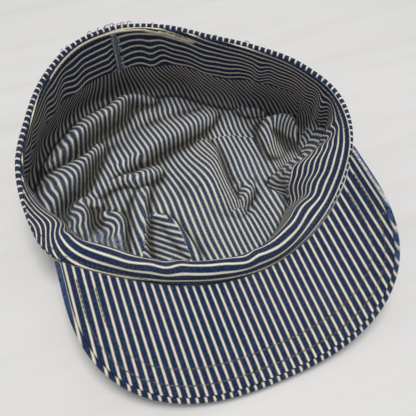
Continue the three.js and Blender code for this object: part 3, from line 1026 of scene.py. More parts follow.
def grid_object(name, points, uv, close_rows=False, close_columns=False, **kw):
    """points is rows x columns x 3; uv has one more row or column where it closes."""
    rows, columns = points.shape[:2]
    faces, ci, cj = grid_faces(rows, columns, close_rows, close_columns)
    uvs = uv[ci, cj].reshape(-1, 2)
    return new_object(name, points.reshape(-1, 3), faces.tolist(), uvs, **kw)


# Pieces of cloth


def rim_length(u):
    total = lengths(rim_row(np.linspace(0, 1, RIM_STEPS))[:, :3])
    return np.interp(u, np.linspace(0, 1, RIM_STEPS), total), total[-1]


def arc(centre, radius, start, end, count):
    """Points of an arc in the plane of (distance down, offset), in degrees."""
    angles = np.radians(np.linspace(start, end, count))
    return [
        (centre[0] - radius * math.sin(a), centre[1] + radius * math.cos(a))
        for a in angles
    ]


def band_layer(roll, top, count, low, high, around):
    """A layer of the band, whose outline runs up one face, over the roll and down.

    Gives its points, its lengths round the cap and along the outline, both in stripes,
    and the distance of the outline's points from the rim.
    """
    rows = np.linspace(BAND_HEIGHT, top, count)
    outline = [(d, high) for d in rows] + roll + [(d, low) for d in rows[::-1]]
    outline = np.array(outline)
    u = np.arange(around) / around
    points = band_point(u[:, None], outline[None, :, 0], outline[None, :, 1])
    length, total = rim_length(np.arange(around + 1) / around)
    along = length / total * round(total / STRIPE_PITCH)
    closed = np.vstack([outline, outline[:1]])
    return points, along, lengths(closed) / STRIPE_PITCH, closed[:, 0]


def outer_band():
    low, high = -LAYER_GAP / 2 - BAND_CLOTH, -LAYER_GAP / 2
    roll = arc((OUTER_ROLL, high - OUTER_ROLL), OUTER_ROLL, 0, OUTER_TURN, OUTER_ROLL_STEPS)
    points, along, down, _ = band_layer(
        roll, OUTER_TOP, OUTER_DOWN, low, high, OUTER_AROUND
    )
    uv = np.stack(np.meshgrid(along, down, indexing="ij"), axis=-1)
    made = grid_object("outer_band_cloth", points, uv, True, True, slot="band_cloth")
    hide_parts("outer_band")
    return made


def sweat_lines(u, depth, down):
    """Number of lines from the rim down to each place of the sweatband."""
    spread = np.cos(2 * math.pi * (u - SWEAT_SPREAD_AT)) - 1
    pitch = SWEAT_PITCH + SWEAT_SPREAD * np.exp(SWEAT_SPREAD_WIDTH * spread)
    for centre, width, added in SWEAT_PLACES:
        pitch = pitch * (1 + added * bell(u, centre, width))
    _, swing = crease_waves(u)
    pull = bell(u, BACK_SEAM, SEAM_PULL) * (u > BACK_SEAM)
    swing = swing + waves(LINE_WAVES, 2 * math.pi * u) - pull
    crest = bell(u, CREST_AT, CREST_WIDTH, 4)
    from_end = np.clip(depth - SWEAT_TOP, 0, CREST_DEPTH) / CREST_DEPTH
    drawn = CREST_DRAW * crest * np.sin(math.pi * from_end)
    return down * STRIPE_PITCH / pitch + swing * smoothstep(depth, *LINE_WAVES_GROW) + drawn


def sweatband():
    low, high = LAYER_GAP / 2, SWEAT_OUTER
    roll = arc((SWEAT_ROLL_AT, (low + high) / 2), BAND_CLOTH / 2, 0, 180, SWEAT_ROLL_STEPS)
    points, along, down, depth = band_layer(
        roll, SWEAT_TOP, SWEAT_DOWN, low, high, SWEAT_AROUND
    )
    u = np.arange(SWEAT_AROUND + 1)[:, None] / SWEAT_AROUND
    lines = sweat_lines(u, depth[None, :], down[None, :])
    uv = np.stack([lines, along[:, None] + 0 * lines], axis=-1)
    made = grid_object("sweatband_layer", points, uv, True, True, slot="sweatband_cloth")
    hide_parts("sweatband")
    return made


def inside_polygon(x, y, corners):
    inside = np.zeros(np.shape(x), bool)
    for (x1, y1), (x2, y2) in zip(corners, corners[1:] + corners[:1]):
        crosses = (y1 > y) != (y2 > y)
        at = x1 + (y - y1) * (x2 - x1) / ((y2 - y1) or 1e-9)
        inside ^= crosses & (x < at)
    return inside


def seam_line(x):
    return np.interp(x, *zip(*CROSS_SEAM))


def turn_panels(uvs, centres, floor):
    """Turns the stripes of the faces in the sewn panels, and tells which these are."""
    sewn = np.zeros(len(centres), bool)
    for degrees, corners in PANELS:
        inside = inside_polygon(centres[:, 0], centres[:, 1], corners) & floor
        sewn |= inside
        panel = turned(uvs[inside, :, 0], uvs[inside, :, 1], math.radians(degrees))
        uvs[inside] = np.stack(panel, axis=-1)
    return sewn


def shift_at_seam(uvs, corners, centres, floor):
    """Shifts the stripes in front of the seam that crosses the floor."""
    starts, fades = SEAM_FADE
    first, last = CROSS_SEAM[0][0], CROSS_SEAM[-1][0]
    below = seam_line(centres[:, 0]) - centres[:, 1]
    near = floor & (below > 0) & (below < fades)
    near &= (centres[:, 0] > first) & (centres[:, 0] < last)
    x, y = corners[near, :, 0], corners[near, :, 1]
    ends = smoothstep(x, first, first + SEAM_END)
    ends = ends * (1 - smoothstep(x, last - SEAM_END, last))
    uvs[near, :, 0] += SEAM_JUMP * ends * (1 - smoothstep(seam_line(x) - y, starts, fades))


def shift_at_tuck(uvs, corners, centres, cloth):
    """Draws the stripes of the floor's own cloth in from either side of the tuck."""
    right_side = centres[cloth, 0] > tuck_line(centres[cloth, 1])
    hard = np.repeat(right_side[:, None], 4, axis=1)
    x, y = corners[cloth, :, 0], corners[cloth, :, 1]
    uvs[cloth, :, 0] += tuck_draw(x, y, hard) / CROWN_PITCH


def smoothed(height):
    """Height of the crown's cloth after one round of smoothing."""
    step = SMOOTH_STEP
    beside = np.roll(height, step, axis=0) + np.roll(height, -step, axis=0)
    height = (beside + 2 * height) / 4
    wide = np.pad(height, ((0, 0), (step, step)), mode="edge")
    return (wide[:, : -2 * step] + wide[:, 2 * step :] + 2 * height) / 4


def crease_shade_amount(points):
    """Painted shade of the crown, 0 to 1: in creases, on steep slopes, the wall and the back.
    """
    height = points[..., 2]
    rounds = [height]
    for _ in range(SMOOTH_ROUNDS):
        rounds.append(smoothed(rounds[-1]))
    broad = (rounds[-1] - height) / BROAD_CREASE
    narrow = (rounds[NARROW_ROUNDS] - height) / NARROW_CREASE
    deep = np.clip(np.maximum(broad, narrow), 0, 1)
    run = np.linalg.norm(np.gradient(points[..., :2], axis=1), axis=-1)
    slope = np.abs(np.gradient(height, axis=1)) / np.maximum(run, SHORTEST_RUN)
    gentle, steepest = SHADED_SLOPES
    steep = np.clip((slope - gentle) / (steepest - gentle), 0, 1)
    deep[:, :CROWN_WALLS] = WALL_SHADE
    steep[:, :CROWN_WALLS] = 0
    # Painted shade at the back, where the band shades the floor
    behind = BACK_SHADE * smoothstep(points[..., 1], *BACK_FROM_TO)
    return np.clip(np.maximum(deep, SLOPE_SHADE * steep) + behind, 0, 1)


def worn_places(x, y):
    worn = np.zeros(x.shape)
    for x0, y0, radius, amount in WORN_PLACES:
        gap = np.hypot(x - x0, y - y0)
        worn = np.maximum(worn, amount * smoothstep(1 - gap / radius, 0, WORN_FULL))
    return worn


def crown_grid():
    """Points of the crown from its rim down the wall and over the floor, and its foot."""
    u = np.arange(CROWN_AROUND) / CROWN_AROUND
    t = np.linspace(0, 1, CROWN_WALLS + 1)
    wall = wall_point(u[:, None] + 0 * t, t[None, :] + 0 * u[:, None])
    foot = crown_foot(u)
    shares = 1 - np.arange(1, CROWN_FLOORS + 1) / (CROWN_FLOORS + 1)
    floor = foot[:, None, :] * shares[None, :, None]
    rise = floor_height(floor[..., 0], floor[..., 1])
    floor[..., 2] = FLOOR_REST + rise * smoothstep(1 - shares, 0, FOLDS_BEGIN)
    return np.concatenate([wall, floor], axis=1), foot


def wall_rise(points):
    """Distance over the cloth from the crown's foot up to each point of its wall."""
    wall = points[:, : CROWN_WALLS + 1]
    steps = np.linalg.norm(np.diff(wall, axis=1), axis=-1)
    return np.pad(np.cumsum(steps[:, ::-1], axis=1)[:, ::-1], ((0, 0), (0, 1)))


def crown_stripes(flat, points, foot, above):
    """Flat coordinates of the crown's points, drawn and turned where it folds."""
    walls = CROWN_WALLS
    x, y = points[..., 0], points[..., 1]
    into = inwards(np.arange(CROWN_AROUND) / CROWN_AROUND)[:, None, :2]
    at_foot = np.stack(flat.at(foot[:, 0], foot[:, 1]), axis=-1)
    on_wall = at_foot[:, None] - into * above[..., None]
    on_floor = np.stack(flat.at(x[:, walls + 1 :], y[:, walls + 1 :]), axis=-1)
    uv = np.concatenate([on_wall, on_floor], axis=1)
    drawn = fold_skew(x, y) + pouch_draw(x, y)
    drawn[:, :walls] = drawn[:, walls : walls + 1]
    uv[..., 0] += drawn
    low = uv[:, walls:]
    uv[:, walls:] = np.stack(
        swirled(low[..., 0], low[..., 1], x[:, walls:], y[:, walls:]), axis=-1
    )
    return np.concatenate([uv, uv[:1]], axis=0) / CROWN_PITCH


def wall_panel(uvs, ci, cj, foot, above):
    """Gives the stripes of the panel sewn into the crown's wall their own angle."""
    start, end, degrees = WALL_PANEL
    past = ci[:, :1] < CROWN_AROUND / 2
    place = (ci + past * CROWN_AROUND)[:, 0] / CROWN_AROUND
    sewn = (place >= start) & (place < end) & (cj.max(axis=1) <= CROWN_WALLS + 1)
    round_foot = lengths(np.vstack([foot, foot[:1]]))
    high = np.pad(above, ((0, 0), (0, CROWN_FLOORS)), constant_values=-WALL_PANEL_END)
    high = np.vstack([high, high[:1]])
    along = round_foot[ci[sewn]] + past[sewn] * round_foot[-1]
    panel = turned(along, high[ci[sewn], cj[sewn]], math.radians(degrees))
    uvs[sewn] = np.stack(panel, axis=-1) / (CROWN_PITCH * WALL_PANEL_CLOSER)


def crown_middle(flat, points, uv):
    """Faces between the innermost ring of the floor and its middle, which is added."""
    rows, columns = points.shape[:2]
    zero = np.zeros(1)
    centre = np.array([[0, 0, FLOOR_REST + floor_height(zero, zero)[0]]])
    centre_uv = np.array(flat.at(zero, zero))[:, 0] / CROWN_PITCH
    centre_uv[0] += tuck_draw(zero, zero, None)[0] / CROWN_PITCH
    ring = np.concatenate([points[:, -1], points[:1, -1]])
    ring_uv = uv[:, -1].copy()
    ring_uv[:, 0] += tuck_draw(ring[:, 0], ring[:, 1], None) / CROWN_PITCH
    inner = [(i + 1) * columns - 1 for i in range(rows)]
    fan = [[a, b, rows * columns] for a, b in zip(inner, inner[1:] + inner[:1])]
    fan_uvs = [[ring_uv[i], ring_uv[i + 1], centre_uv] for i in range(rows)]
    return centre, fan, np.array(fan_uvs).reshape(-1, 2)


def crown():
    points, foot = crown_grid()
    flat = FlatFloor()
    above = wall_rise(points)
    uv = crown_stripes(flat, points, foot, above)
    faces, ci, cj = grid_faces(*points.shape[:2], True, False)
    corners, uvs = points.reshape(-1, 3)[faces], uv[ci, cj]
    centres = corners.mean(axis=1)
    floor = centres[:, 2] < FOLD_HEIGHT
    sewn = turn_panels(uvs, centres, floor)
    shift_at_seam(uvs, corners, centres, floor)
    shift_at_tuck(uvs, corners, centres, floor & ~sewn)
    wall_panel(uvs, ci, cj, foot, above)
    centre, fan, fan_uvs = crown_middle(flat, points, uv)
    made = new_object(
        "crown_cloth",
        np.vstack([points.reshape(-1, 3), centre]),
        faces.tolist() + fan,
        np.vstack([uvs.reshape(-1, 2), fan_uvs]),
        slot="crown_cloth",
    )
    # The crown's painted shade in its creases, on its slopes, its wall and its back
    add_attribute(made, "crease", np.append(crease_shade_amount(points), 0))
    add_attribute(made, "worn", np.append(worn_places(points[..., 0], points[..., 1]), 0))
    thick = made.modifiers.new("thickness", "SOLIDIFY")
    thick.thickness = CROWN_CLOTH * MM
    thick.offset = 0
    thick.material_offset = 1
    thick.use_even_offset = False
    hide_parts("crown")
    return made


def peak_sides(count):
    even = np.linspace(-1, 1, count)
    return (np.sin(even * math.pi / 2) + even) / 2


def edge_gap(across, back):
    """Distance from places on the flat peak to its outer edge."""
    edge_across, edge_back = peak_flat(peak_sides(EDGE_STEPS), 1.0, 0.0)
    edge = np.stack([edge_across, edge_back], axis=-1)
    place = np.stack([across, back], axis=-1).reshape(-1, 1, 2)
    gaps = np.linalg.norm(place - edge[None], axis=-1).min(axis=1)
    return gaps.reshape(np.shape(across))


def stitch_sink(gap):
    return -STITCH_SINK * sum(bell(gap, line, STITCH_GROOVE) for line in STITCH_LINES)


def peak_under():
    inset = PEAK_ROLL + LAYER_GAP
    side = peak_sides(PEAK_SIDES)[:, None]
    out = np.append(np.linspace(*UNDER_NEAR_SEAM), np.linspace(*UNDER_NEAR_EDGE))[None, :]
    across, back = peak_flat(side, out, inset)
    top = UNDER_TOP + stitch_sink(edge_gap(across, back))
    upper = peak_point(across, back, top)
    lower = peak_point(across, back, LAYER_GAP)
    points = np.concatenate([upper, lower[:, ::-1]], axis=1)
    uv = np.stack([across, back], axis=-1) / PEAK_PITCH
    uv = np.concatenate([uv, uv[:, ::-1], uv[:, :1]], axis=1)
    rows, columns = points.shape[:2]
    faces, ci, cj = grid_faces(rows, columns, False, True)
    quads = [[j, j + 1, columns - 2 - j, columns - 1 - j] for j in range(columns // 2 - 1)]
    last = (rows - 1) * columns
    caps = quads + [[last + k for k in quad[::-1]] for quad in quads]
    first_uvs = [uv[0, k] for quad in quads for k in quad]
    last_uvs = [uv[-1, k] for quad in quads for k in quad[::-1]]
    made = new_object(
        "peak_under_cloth",
        points.reshape(-1, 3),
        faces.tolist() + caps,
        np.vstack([uv[ci, cj].reshape(-1, 2), first_uvs, last_uvs]),
        slot="peak_under_cloth",
    )
    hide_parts("peak_under")
    return made


def peak_upper():
    """The peak's board and upper cloth, with the edge rolled over the under cloth."""
    side = peak_sides(PEAK_SIDES)[:, None]
    radius = (PEAK_BOARD + UNDER_TOP) / 2
    middle = (UNDER_TOP - PEAK_BOARD) / 2
    bend = np.radians(np.linspace(-90, 90, UPPER_ROLL_STEPS))
    outwards = np.linspace(0, 1, UPPER_STEPS)
    rows = [(out, radius, -PEAK_BOARD) for out in outwards[:-1]]
    rows += [(1, radius - radius * math.cos(a), middle + radius * math.sin(a)) for a in bend]
    rows += [(1, PEAK_ROLL, UNDER_TOP - EDGE_DIP), (1, PEAK_ROLL, EDGE_TURN)]
    rows += [(out, PEAK_ROLL, 0) for out in outwards[::-1]]
    outs, insets, offs = np.array(rows).T[:, None]
    across, back = peak_flat(side, outs, insets)
    points = peak_point(across, back, offs)
    uv = np.stack([across / PEAK_PITCH + PEAK_STRIPES_ASIDE, back / PEAK_PITCH], axis=-1)
    uv = np.concatenate([uv, uv[:, :1]], axis=1)
    rows, columns = points.shape[:2]
    faces, ci, cj = grid_faces(rows, columns, False, True)
    cloth_uvs = uv[ci, cj][:, ::-1].reshape(-1, 2)
    made = new_object(
        "peak_upper_cloth",
        points.reshape(-1, 3),
        faces[:, ::-1].tolist() + end_caps(rows, columns),
        np.vstack([cloth_uvs, uv[0, :columns][::-1], uv[-1, :columns]]),
        slot="peak_upper_cloth",
    )
    worn = sum(
        amount * smoothstep(outs, edge, 1) * smoothstep(hand * side, start, end)
        for edge, hand, start, end, amount in PEAK_WEAR
    )
    add_attribute(made, "worn", np.clip(worn, 0, 1))
    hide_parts("peak_upper")
    return made


# The worn seam, tape and loose threads of the sweatband


def cloth_strip(name, u, distances, offs, thickness, slot):
    """A flat strip on the sweatband: rows of places round the cap by distances down."""
    points = band_point(u, distances, offs)
    under = band_point(u, distances, offs - thickness)
    loop = np.concatenate([points, under[:, ::-1]], axis=1)
    rows, columns = loop.shape[:2]
    faces, _, _ = grid_faces(rows, columns, False, True)
    faces = faces.tolist() + end_caps(rows, columns)
    down = np.concatenate([distances, distances[:, ::-1]], axis=1)
    length, _ = rim_length(np.concatenate([u, u[:, ::-1]], axis=1))
    uv = np.stack([length, down], axis=-1).reshape(-1, 2) / STRIPE_PITCH
    corners = [k for face in faces for k in face]
    return new_object(name, loop.reshape(-1, 3), faces, uv[corners], slot=slot)


def back_seam():
    """The end of the sweatband, lapped over its start at the back and worn pale."""
    down = np.linspace(LAP_TOP, BAND_HEIGHT + 1, 40)[:, None]
    side = np.linspace(0, 1, 9)[None, :]
    ragged = waves(LAP_EDGE_WAVES, down)
    u = BACK_SEAM + ragged - (LAP_WIDTH + waves(LAP_WIDTH_WAVES, down)) * side
    lift = SWEAT_OUTER + LAP_CLOTH * (1 - side**4) + waves(LAP_LIFT_WAVES, down)
    distances = down + LAP_CURVE * np.sin(5 * side)
    return cloth_strip("back_seam_strip", u, distances, lift, LAP_CLOTH, "sweatband_cloth")


def rim_tape():
    """Thin tape that shows between the layers along the rim, torn at its end."""
    u = np.linspace(TAPE_START, TAPE_END, 150)[:, None]
    side = np.linspace(-1, 1, 7)[None, :]
    torn = smoothstep(TAPE_TORN - u, 0, TAPE_TORN_OVER)
    hanging = smoothstep(TAPE_HANGS - u, 0, TAPE_HANGS_OVER)
    half = TAPE_HALF + torn * (TAPE_HALF + waves(TAPE_TEARS, u))
    half = half * smoothstep(u - TAPE_END, *TAPE_TIP)
    half = half * smoothstep(TAPE_START - u, *TAPE_BEGINNING)
    middle = TAPE_DOWN + TAPE_SAG * torn + TAPE_HANG * hanging
    distances = middle + np.maximum(half, TAPE_LEAST) * side
    lift = SWEAT_OUTER + TAPE_LIFT * (2 - side**2) + torn * waves(TAPE_CURLS, u)
    return cloth_strip("rim_tape", u + 0 * side, distances, lift, TAPE_CLOTH, "worn_tape")


def frays():
    """Loose ends and small loops of yarn that stand up from the rim at the back."""
    rng = np.random.default_rng(FRAY_SEED)
    paths = []
    for centre in FRAYS:
        angle = np.linspace(0, math.pi * rng.uniform(*FRAY_ARC), 9)[:, None]
        reach = rng.uniform(*FRAY_REACH)
        lean = rng.uniform(*FRAY_LEAN)
        point, down, headwards, _ = (v[0] for v in band_place([centre], [0]))
        ahead = band_place([centre + FRAY_AHEAD], [0])[0][0]
        along = (ahead - point) / np.linalg.norm(ahead - point)
        base = point - headwards * FRAY_BEHIND + down * FRAY_DOWN
        beside = along * reach * (np.cos(angle) + lean * np.sin(angle) / 2)
        paths.append(base + beside - down * reach * FRAY_TALL * np.sin(angle))
    return thread_object("rim_frays", paths, FRAY_THREAD, "stitch_thread")


def loose_thread():
    """A loop of thread that hangs where the band meets the peak's left end."""
    u = np.linspace(*LOOP_FROM_TO, 14)
    share = np.linspace(0, 1, 14)
    twist = LOOP_TWIST * np.sin(share * LOOP_TWIST_TURNS)
    rise = LOOP_HEIGHT * np.sin(share * math.pi) + twist
    path = band_point(u, LOOP_DOWN - rise * LOOP_UP, -LOOP_BEHIND - rise)
    return thread_object("loose_loop", [path], LOOP_THREAD, "worn_tape")


# Thread


def tube(path, radius, sides=6):
    """Points and faces of a thin round thread with closed, pointed ends."""
    path = np.asarray(path, float)
    tangent = np.gradient(path, axis=0)
    tangent /= np.linalg.norm(tangent, axis=1, keepdims=True)
    helper = np.array([0.0, 0.0, 1.0])
    if abs(tangent[0] @ helper) > UPRIGHT_THREAD:
        helper = np.array([1.0, 0.0, 0.0])
    first = np.cross(tangent, helper)
    first /= np.linalg.norm(first, axis=1, keepdims=True)
    second = np.cross(tangent, first)
    angles = 2 * math.pi * np.arange(sides)[None, :, None] / sides
    size = np.full((len(path), 1, 1), radius)
    size[[0, -1]] *= THREAD_POINT
    rings = np.cos(angles) * first[:, None] + np.sin(angles) * second[:, None]
    points = (path[:, None] + size * rings).reshape(-1, 3)
    faces, _, _ = grid_faces(len(path), sides, False, True)
    return points, faces[:, [0, 3, 2, 1]].tolist() + end_caps(len(path), sides)


def thread_object(name, paths, radius, slot):
    points = []
    faces = []
    base = 0
    for path in paths:
        p, f = tube(path, radius)
        points.append(p)
        faces.extend([[k + base for k in face] for face in f])
        base += len(p)
    return new_object(name, np.concatenate(points), faces, slot=slot)


def stitch_paths(line, normals, length, space, lift, sink):
    """Short threads along a line, each of which dips into the cloth at its ends."""
    total = lengths(line)
    rise = np.array([-sink, SHOULDER * lift, lift])
    rise = np.concatenate([rise, rise[::-1]])[:, None]
    paths = []
    start = space
    while start + length < total[-1]:
        at = np.linspace(start, start + length, len(rise))
        place, out = (
            np.stack([np.interp(at, total, column) for column in rows.T], axis=-1)
            for rows in (line, normals)
        )
        paths.append(place + out * rise)
        start += length + space
    return paths


def peak_stitches():
    side = np.linspace(*PEAK_STITCHES)
    top = UNDER_TOP - STITCH_SINK
    paths = []
    for inset in STITCH_LINES:
        line = peak_face(side, 1.0, inset, top)
        above = peak_face(side, 1.0, inset, top + 1)
        paths += stitch_paths(line, above - line, **PEAK_STITCH)
    return thread_object("peak_stitching", paths, PEAK_THREAD, "stitch_thread")


def rim_stitches():
    u = np.linspace(*RIM_STITCHES)
    line = band_point(u, RIM_STITCH_AT, np.full(u.shape, SWEAT_OUTER))
    above = band_point(u, RIM_STITCH_AT, np.full(u.shape, SWEAT_OUTER + 1))
    paths = stitch_paths(line, above - line, **RIM_STITCH)
    return thread_object("rim_stitching", paths, RIM_THREAD, "stitch_thread")


# Materials


def srgb(r, g, b):
    """Linear colour of a colour given as 0 to 255 in sRGB."""
    found = []
    for value in (r, g, b):
        share = value / 255
        if share <= 0.04045:
            found.append(share / 12.92)
        else:
            found.append(((share + 0.055) / 1.055) ** 2.4)
    return (*found, 1.0)


class Graph:
    """Small helper that makes and joins shader nodes."""

    def __init__(self, name):
        self.material = bpy.data.materials.new(name)
        self.material.use_nodes = True
        self.tree = self.material.node_tree
        self.tree.nodes.clear()

    def node(self, kind, **settings):
        made = self.tree.nodes.new(kind)
        for key, value in settings.items():
            setattr(made, key, value)
        return made

    def put(self, socket, value):
        if isinstance(value, bpy.types.NodeSocket):
            self.tree.links.new(value, socket)
        else:
            socket.default_value = value

    def math(self, operation, *values):
        made = self.node("ShaderNodeMath", operation=operation)
        for socket, value in zip(made.inputs, values):
            self.put(socket, value)
        return made.outputs[0]

    def times(self, first, second):
        return self.math("MULTIPLY", first, second)

    def plus(self, first, second):
        return self.math("ADD", first, second)

    def minus(self, first, second):
        return self.math("SUBTRACT", first, second)

    def wave(self, turns):
        return self.math("SINE", self.times(turns, 2 * math.pi))

    def mix(self, share, first, second, blend="MIX"):
        made = self.node("ShaderNodeMix", data_type="RGBA", blend_type=blend)
        self.put(made.inputs["Factor"], share)
        self.put(made.inputs["A"], first)
        self.put(made.inputs["B"], second)
        return made.outputs["Result"]

    def ramp(self, value, low, high):
        made = self.node("ShaderNodeMapRange", interpolation_type="SMOOTHSTEP")
        self.put(made.inputs["Value"], value)
        made.inputs["From Min"].default_value = low
        made.inputs["From Max"].default_value = high
        return made.outputs["Result"]

    def noise(self, vector, scale, detail=2.0, roughness=0.5):
        made = self.node("ShaderNodeTexNoise")
        self.put(made.inputs["Vector"], vector)
        made.inputs["Scale"].default_value = scale
        made.inputs["Detail"].default_value = detail
        made.inputs["Roughness"].default_value = roughness
        return made.outputs["Fac"]

    def vector(self, *values):
        made = self.node("ShaderNodeCombineXYZ")
        for socket, value in zip(made.inputs, values):
            self.put(socket, value)
        return made.outputs[0]

    def split(self, vector):
        """The first two parts of a vector."""
        parts = self.node("ShaderNodeSeparateXYZ")
        self.put(parts.inputs[0], vector)
        return parts.outputs[0], parts.outputs[1]

    def attribute(self, name):
        return self.node("ShaderNodeAttribute", attribute_name=name).outputs["Fac"]

    def place(self):
        return self.node("ShaderNodeTexCoord").outputs["Object"]

    def surface(self, colour, settings, height=None, strength=0.0, depth=0.0):
        """The finished material: colour, plain settings and the relief of a height."""
        shader = self.node("ShaderNodeBsdfPrincipled")
        self.put(shader.inputs["Base Color"], colour)
        for name, value in settings.items():
            shader.inputs[name].default_value = value
        if height is not None:
            bumps = self.node("ShaderNodeBump")
            bumps.inputs["Strength"].default_value = strength
            bumps.inputs["Distance"].default_value = depth
            self.put(bumps.inputs["Height"], height)
            self.put(shader.inputs["Normal"], bumps.outputs[0])
        out = self.node("ShaderNodeOutputMaterial")
        self.put(out.inputs["Surface"], shader.outputs[0])
        return self.material


def stripe_share(g, across, row, cream_share, jag):
    """One in a cream stripe and nothing between them, with twill steps at its edges."""
    yarn_noise = g.noise(g.vector(g.times(across, 4.0), row), 1.0, 1.0)
    uneven = g.times(g.minus(yarn_noise, 0.5), jag * 2)
    moved = g.plus(across, g.plus(g.times(g.wave(row), jag), uneven))
    middle = g.math("ABSOLUTE", g.minus(g.math("FRACT", moved), 0.5))
    low, high = cream_share - SOFT_EDGE, cream_share + SOFT_EDGE
    return g.minus(1.0, g.ramp(g.times(middle, 2.0), low, high))


def yarn_colour(g, fine, stripe, navy, light_navy, cream):
    """Speckled navy and uneven cream yarns."""
    grain = g.times(g.noise(fine, 0.75, 2.0, 0.6), 0.5)
    coarse = g.times(g.noise(fine, 0.33, 2.0, 0.6), 0.5)
    speckle = g.ramp(g.plus(grain, coarse), *SPECKLE)
    dark = g.mix(speckle, srgb(*navy), srgb(*light_navy))
    shaded = g.times(g.ramp(g.noise(fine, 0.6, 1.0), *SHADED_YARNS), SHADED_SHARE)
    pale = g.mix(shaded, srgb(*cream), srgb(*[SHADED_CREAM * v for v in cream]))
    return g.mix(stripe, dark, pale)


def dusty(g, colour, dirt):
    """Soft dust over larger areas."""
    broad = g.ramp(g.noise(g.place(), 28.0, 3.0, 0.6), *DUST_PATCHES)
    return g.mix(g.times(broad, dirt), colour, srgb(*DUST))


# Painted shade: darkens the colour by the crown's crease attribute, in creases, on slopes and
# at the back
def paint_crease_shade(g, colour, crease_shading):
    shaded_colour = g.mix(1.0, colour, srgb(*CREASE_SHADE_TINT), "MULTIPLY")
    return g.mix(g.times(g.attribute("crease"), crease_shading), colour, shaded_colour)


def faded_places(g, colour, fine, faded):
    patches = g.ramp(g.noise(fine, 0.2, 3.0, 0.7), *WORN_PATCHES)
    return g.mix(g.times(g.attribute("worn"), patches), colour, srgb(*faded))


def spotted(g, colour, spot):
    away = g.node("ShaderNodeVectorMath", operation="DISTANCE")
    g.put(away.inputs[0], g.place())
    away.inputs[1].default_value = spot
    inside = g.minus(1.0, g.ramp(away.outputs["Value"], *SPOT_ENDS))
    return g.mix(inside, colour, srgb(*SPOT_COLOUR))


def weave_height(g, across, row, fine, stripe):
    """Height of the weave: slanting ribs, uneven yarns, and raised cream stripes."""
    ribs = g.wave(g.plus(g.times(across, YARNS), row))
    relief = g.plus(g.times(ribs, 0.5), g.noise(fine, 1.3, 2.0, 0.6))
    return g.plus(relief, g.times(stripe, STRIPE_RAISED))


def striped_cloth(name, colours, cream_share, jag, bump, dirt, crease_shading=0, spot=None, faded=FADED):
    """Striped twill; colours are navy, its lighter yarns, and cream. Creases may get painted
    shade.
    """
    g = Graph(name)
    uv = g.node("ShaderNodeUVMap", uv_map="stripes").outputs[0]
    across, along = g.split(uv)
    row = g.times(along, TWILL_STEPS)
    fine = g.vector(g.times(across, YARNS), g.times(along, YARNS))
    stripe = stripe_share(g, across, row, cream_share, jag)
    colour = dusty(g, yarn_colour(g, fine, stripe, *colours), dirt)
    # Painted shade in the crown's creases, on its slopes and at its back
    if crease_shading:
        colour = paint_crease_shade(g, colour, crease_shading)
    colour = faded_places(g, colour, fine, faded)
    if spot:
        colour = spotted(g, colour, spot)
    height = weave_height(g, across, row, fine, stripe)
    return g.surface(colour, CLOTH_SURFACE, height, bump, WEAVE_DEPTH)


def thread_material(name, colour, dark):
    g = Graph(name)
    twist = g.ramp(g.noise(g.place(), 2500.0, 2.0), *TWIST_SHADES)
    mixed = g.mix(twist, srgb(*dark), srgb(*colour))
    return g.surface(mixed, THREAD_SURFACE, twist, 0.5, TWIST_DEPTH)


def table_material():
    """A pale plain table with faint streaks."""
    g = Graph("pale_table")
    x, y = g.split(g.place())
    grain = g.vector(g.times(x, 4.0), g.times(y, 60.0))
    streaks = g.ramp(g.noise(grain, 1.0, 4.0, 0.6), *TABLE_STREAKS)
    return g.surface(g.mix(streaks, srgb(*TABLE_PALE), srgb(*TABLE_GREY)), TABLE_SURFACE)


# Camera, floor and light


def add_camera():
    data = bpy.data.cameras.new("camera")
    data.lens = CAMERA_LENS
    data.sensor_width = 36.0
    data.clip_start = 0.01
    camera = bpy.data.objects.new("camera", data)
    camera.location = CAMERA_PLACE
    camera.rotation_euler = (math.radians(CAMERA_PITCH), 0, math.radians(CAMERA_TURN))
    bpy.context.scene.collection.objects.link(camera)
    bpy.context.scene.camera = camera


def add_floor():
    corners = [
        (x * FLOOR_HALF, y * FLOOR_HALF, 0) for x, y in ((-1, -1), (1, -1), (1, 1), (-1, 1))
    ]
    mesh = bpy.data.meshes.new("floor")
    mesh.from_pydata(corners, [], [(0, 1, 2, 3)])
    floor = bpy.data.objects.new("floor", mesh)
    floor.data.materials.append(table_material())
    bpy.context.scene.collection.objects.link(floor)


def add_window():
    """Soft light from above that faces the middle of the table."""
    data = bpy.data.lights.new("window", "AREA")
    data.shape = "RECTANGLE"
    data.size = data.size_y = WINDOW_SIZE
    data.energy = WINDOW_POWER
    light = bpy.data.objects.new("window", data)
    light.location = WINDOW_PLACE
    aim = -Vector(WINDOW_PLACE)
    light.rotation_euler = aim.to_track_quat("-Z", "Y").to_euler()
    bpy.context.scene.collection.objects.link(light)


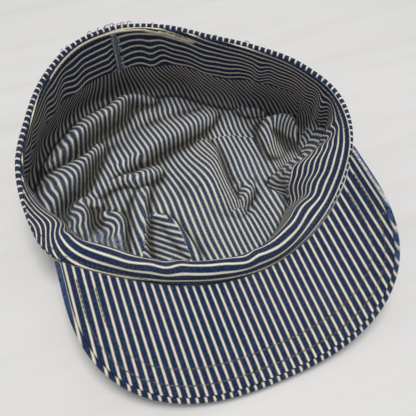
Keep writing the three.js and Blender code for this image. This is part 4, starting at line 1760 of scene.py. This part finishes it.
def add_world():
    world = bpy.data.worlds.new("room")
    world.use_nodes = True
    background = world.node_tree.nodes["Background"]
    background.inputs["Color"].default_value = SKY
    background.inputs["Strength"].default_value = ROOM_LIGHT
    bpy.context.scene.world = world


add_camera()
add_floor()
add_world()
add_window()
bpy.context.scene.view_settings.view_transform = "Standard"

BLUE_STRIPES = (NAVY, NAVY_LIGHT, CREAM)
# The peak's stripes take the darker cream: painted shade
PEAK_STRIPES = (NAVY, NAVY_LIGHT, PEAK_PAINTED_SHADE_CREAM)
INSIDE_STRIPES = (INSIDE_NAVY, INSIDE_NAVY_LIGHT, INSIDE_CREAM)
WORN_STRIPES = (WORN_NAVY, WORN_NAVY_LIGHT, WORN_CREAM)

band_look = striped_cloth(
    "band_cloth", BLUE_STRIPES, cream_share=0.27, jag=0.05, bump=0.9, dirt=0.05
)
peak_look = striped_cloth(
    "peak_cloth",
    PEAK_STRIPES,
    cream_share=0.29,
    jag=0.05,
    bump=0.9,
    dirt=0.04,
    spot=SPOT,
    faded=PEAK_FADED,
)
# The crown's inside gets painted shade in its creases, on its slopes and at its back
inside_look = striped_cloth(
    "crown_inside", INSIDE_STRIPES, cream_share=0.36, jag=0.08, bump=1.0, dirt=0.08, crease_shading=0.9
)
outside_look = striped_cloth(
    "crown_outside", BLUE_STRIPES, cream_share=0.34, jag=0.03, bump=0.8, dirt=0.06
)
worn_look = striped_cloth(
    "worn_cloth", WORN_STRIPES, cream_share=0.2, jag=0.1, bump=1.0, dirt=0.2
)
thread_look = thread_material("grey_thread", *THREAD_GREYS)
tape_look = thread_material("cream_tape", *TAPE_CREAMS)
yarn_look = thread_material("blue_yarn", *YARN_BLUES)

# Each piece, and what it wears: the crown wears its inner look and its outer one
dressed = {
    "crown": (crown, inside_look, outside_look),
    "outer": (outer_band, band_look),
    "sweat": (sweatband, band_look),
    "under": (peak_under, peak_look),
    "upper": (peak_upper, peak_look),
    "peak_stitching": (peak_stitches, thread_look),
    "rim_stitching": (rim_stitches, thread_look),
    "seam": (back_seam, worn_look),
    "tape": (rim_tape, tape_look),
    "frays": (frays, yarn_look),
    "loop": (loose_thread, tape_look),
}
pieces = {}
for name, (make, *looks) in dressed.items():
    pieces[name] = make()
    for look in looks:
        pieces[name].data.materials.append(look)

for piece in pieces.values():
    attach(piece, "root")
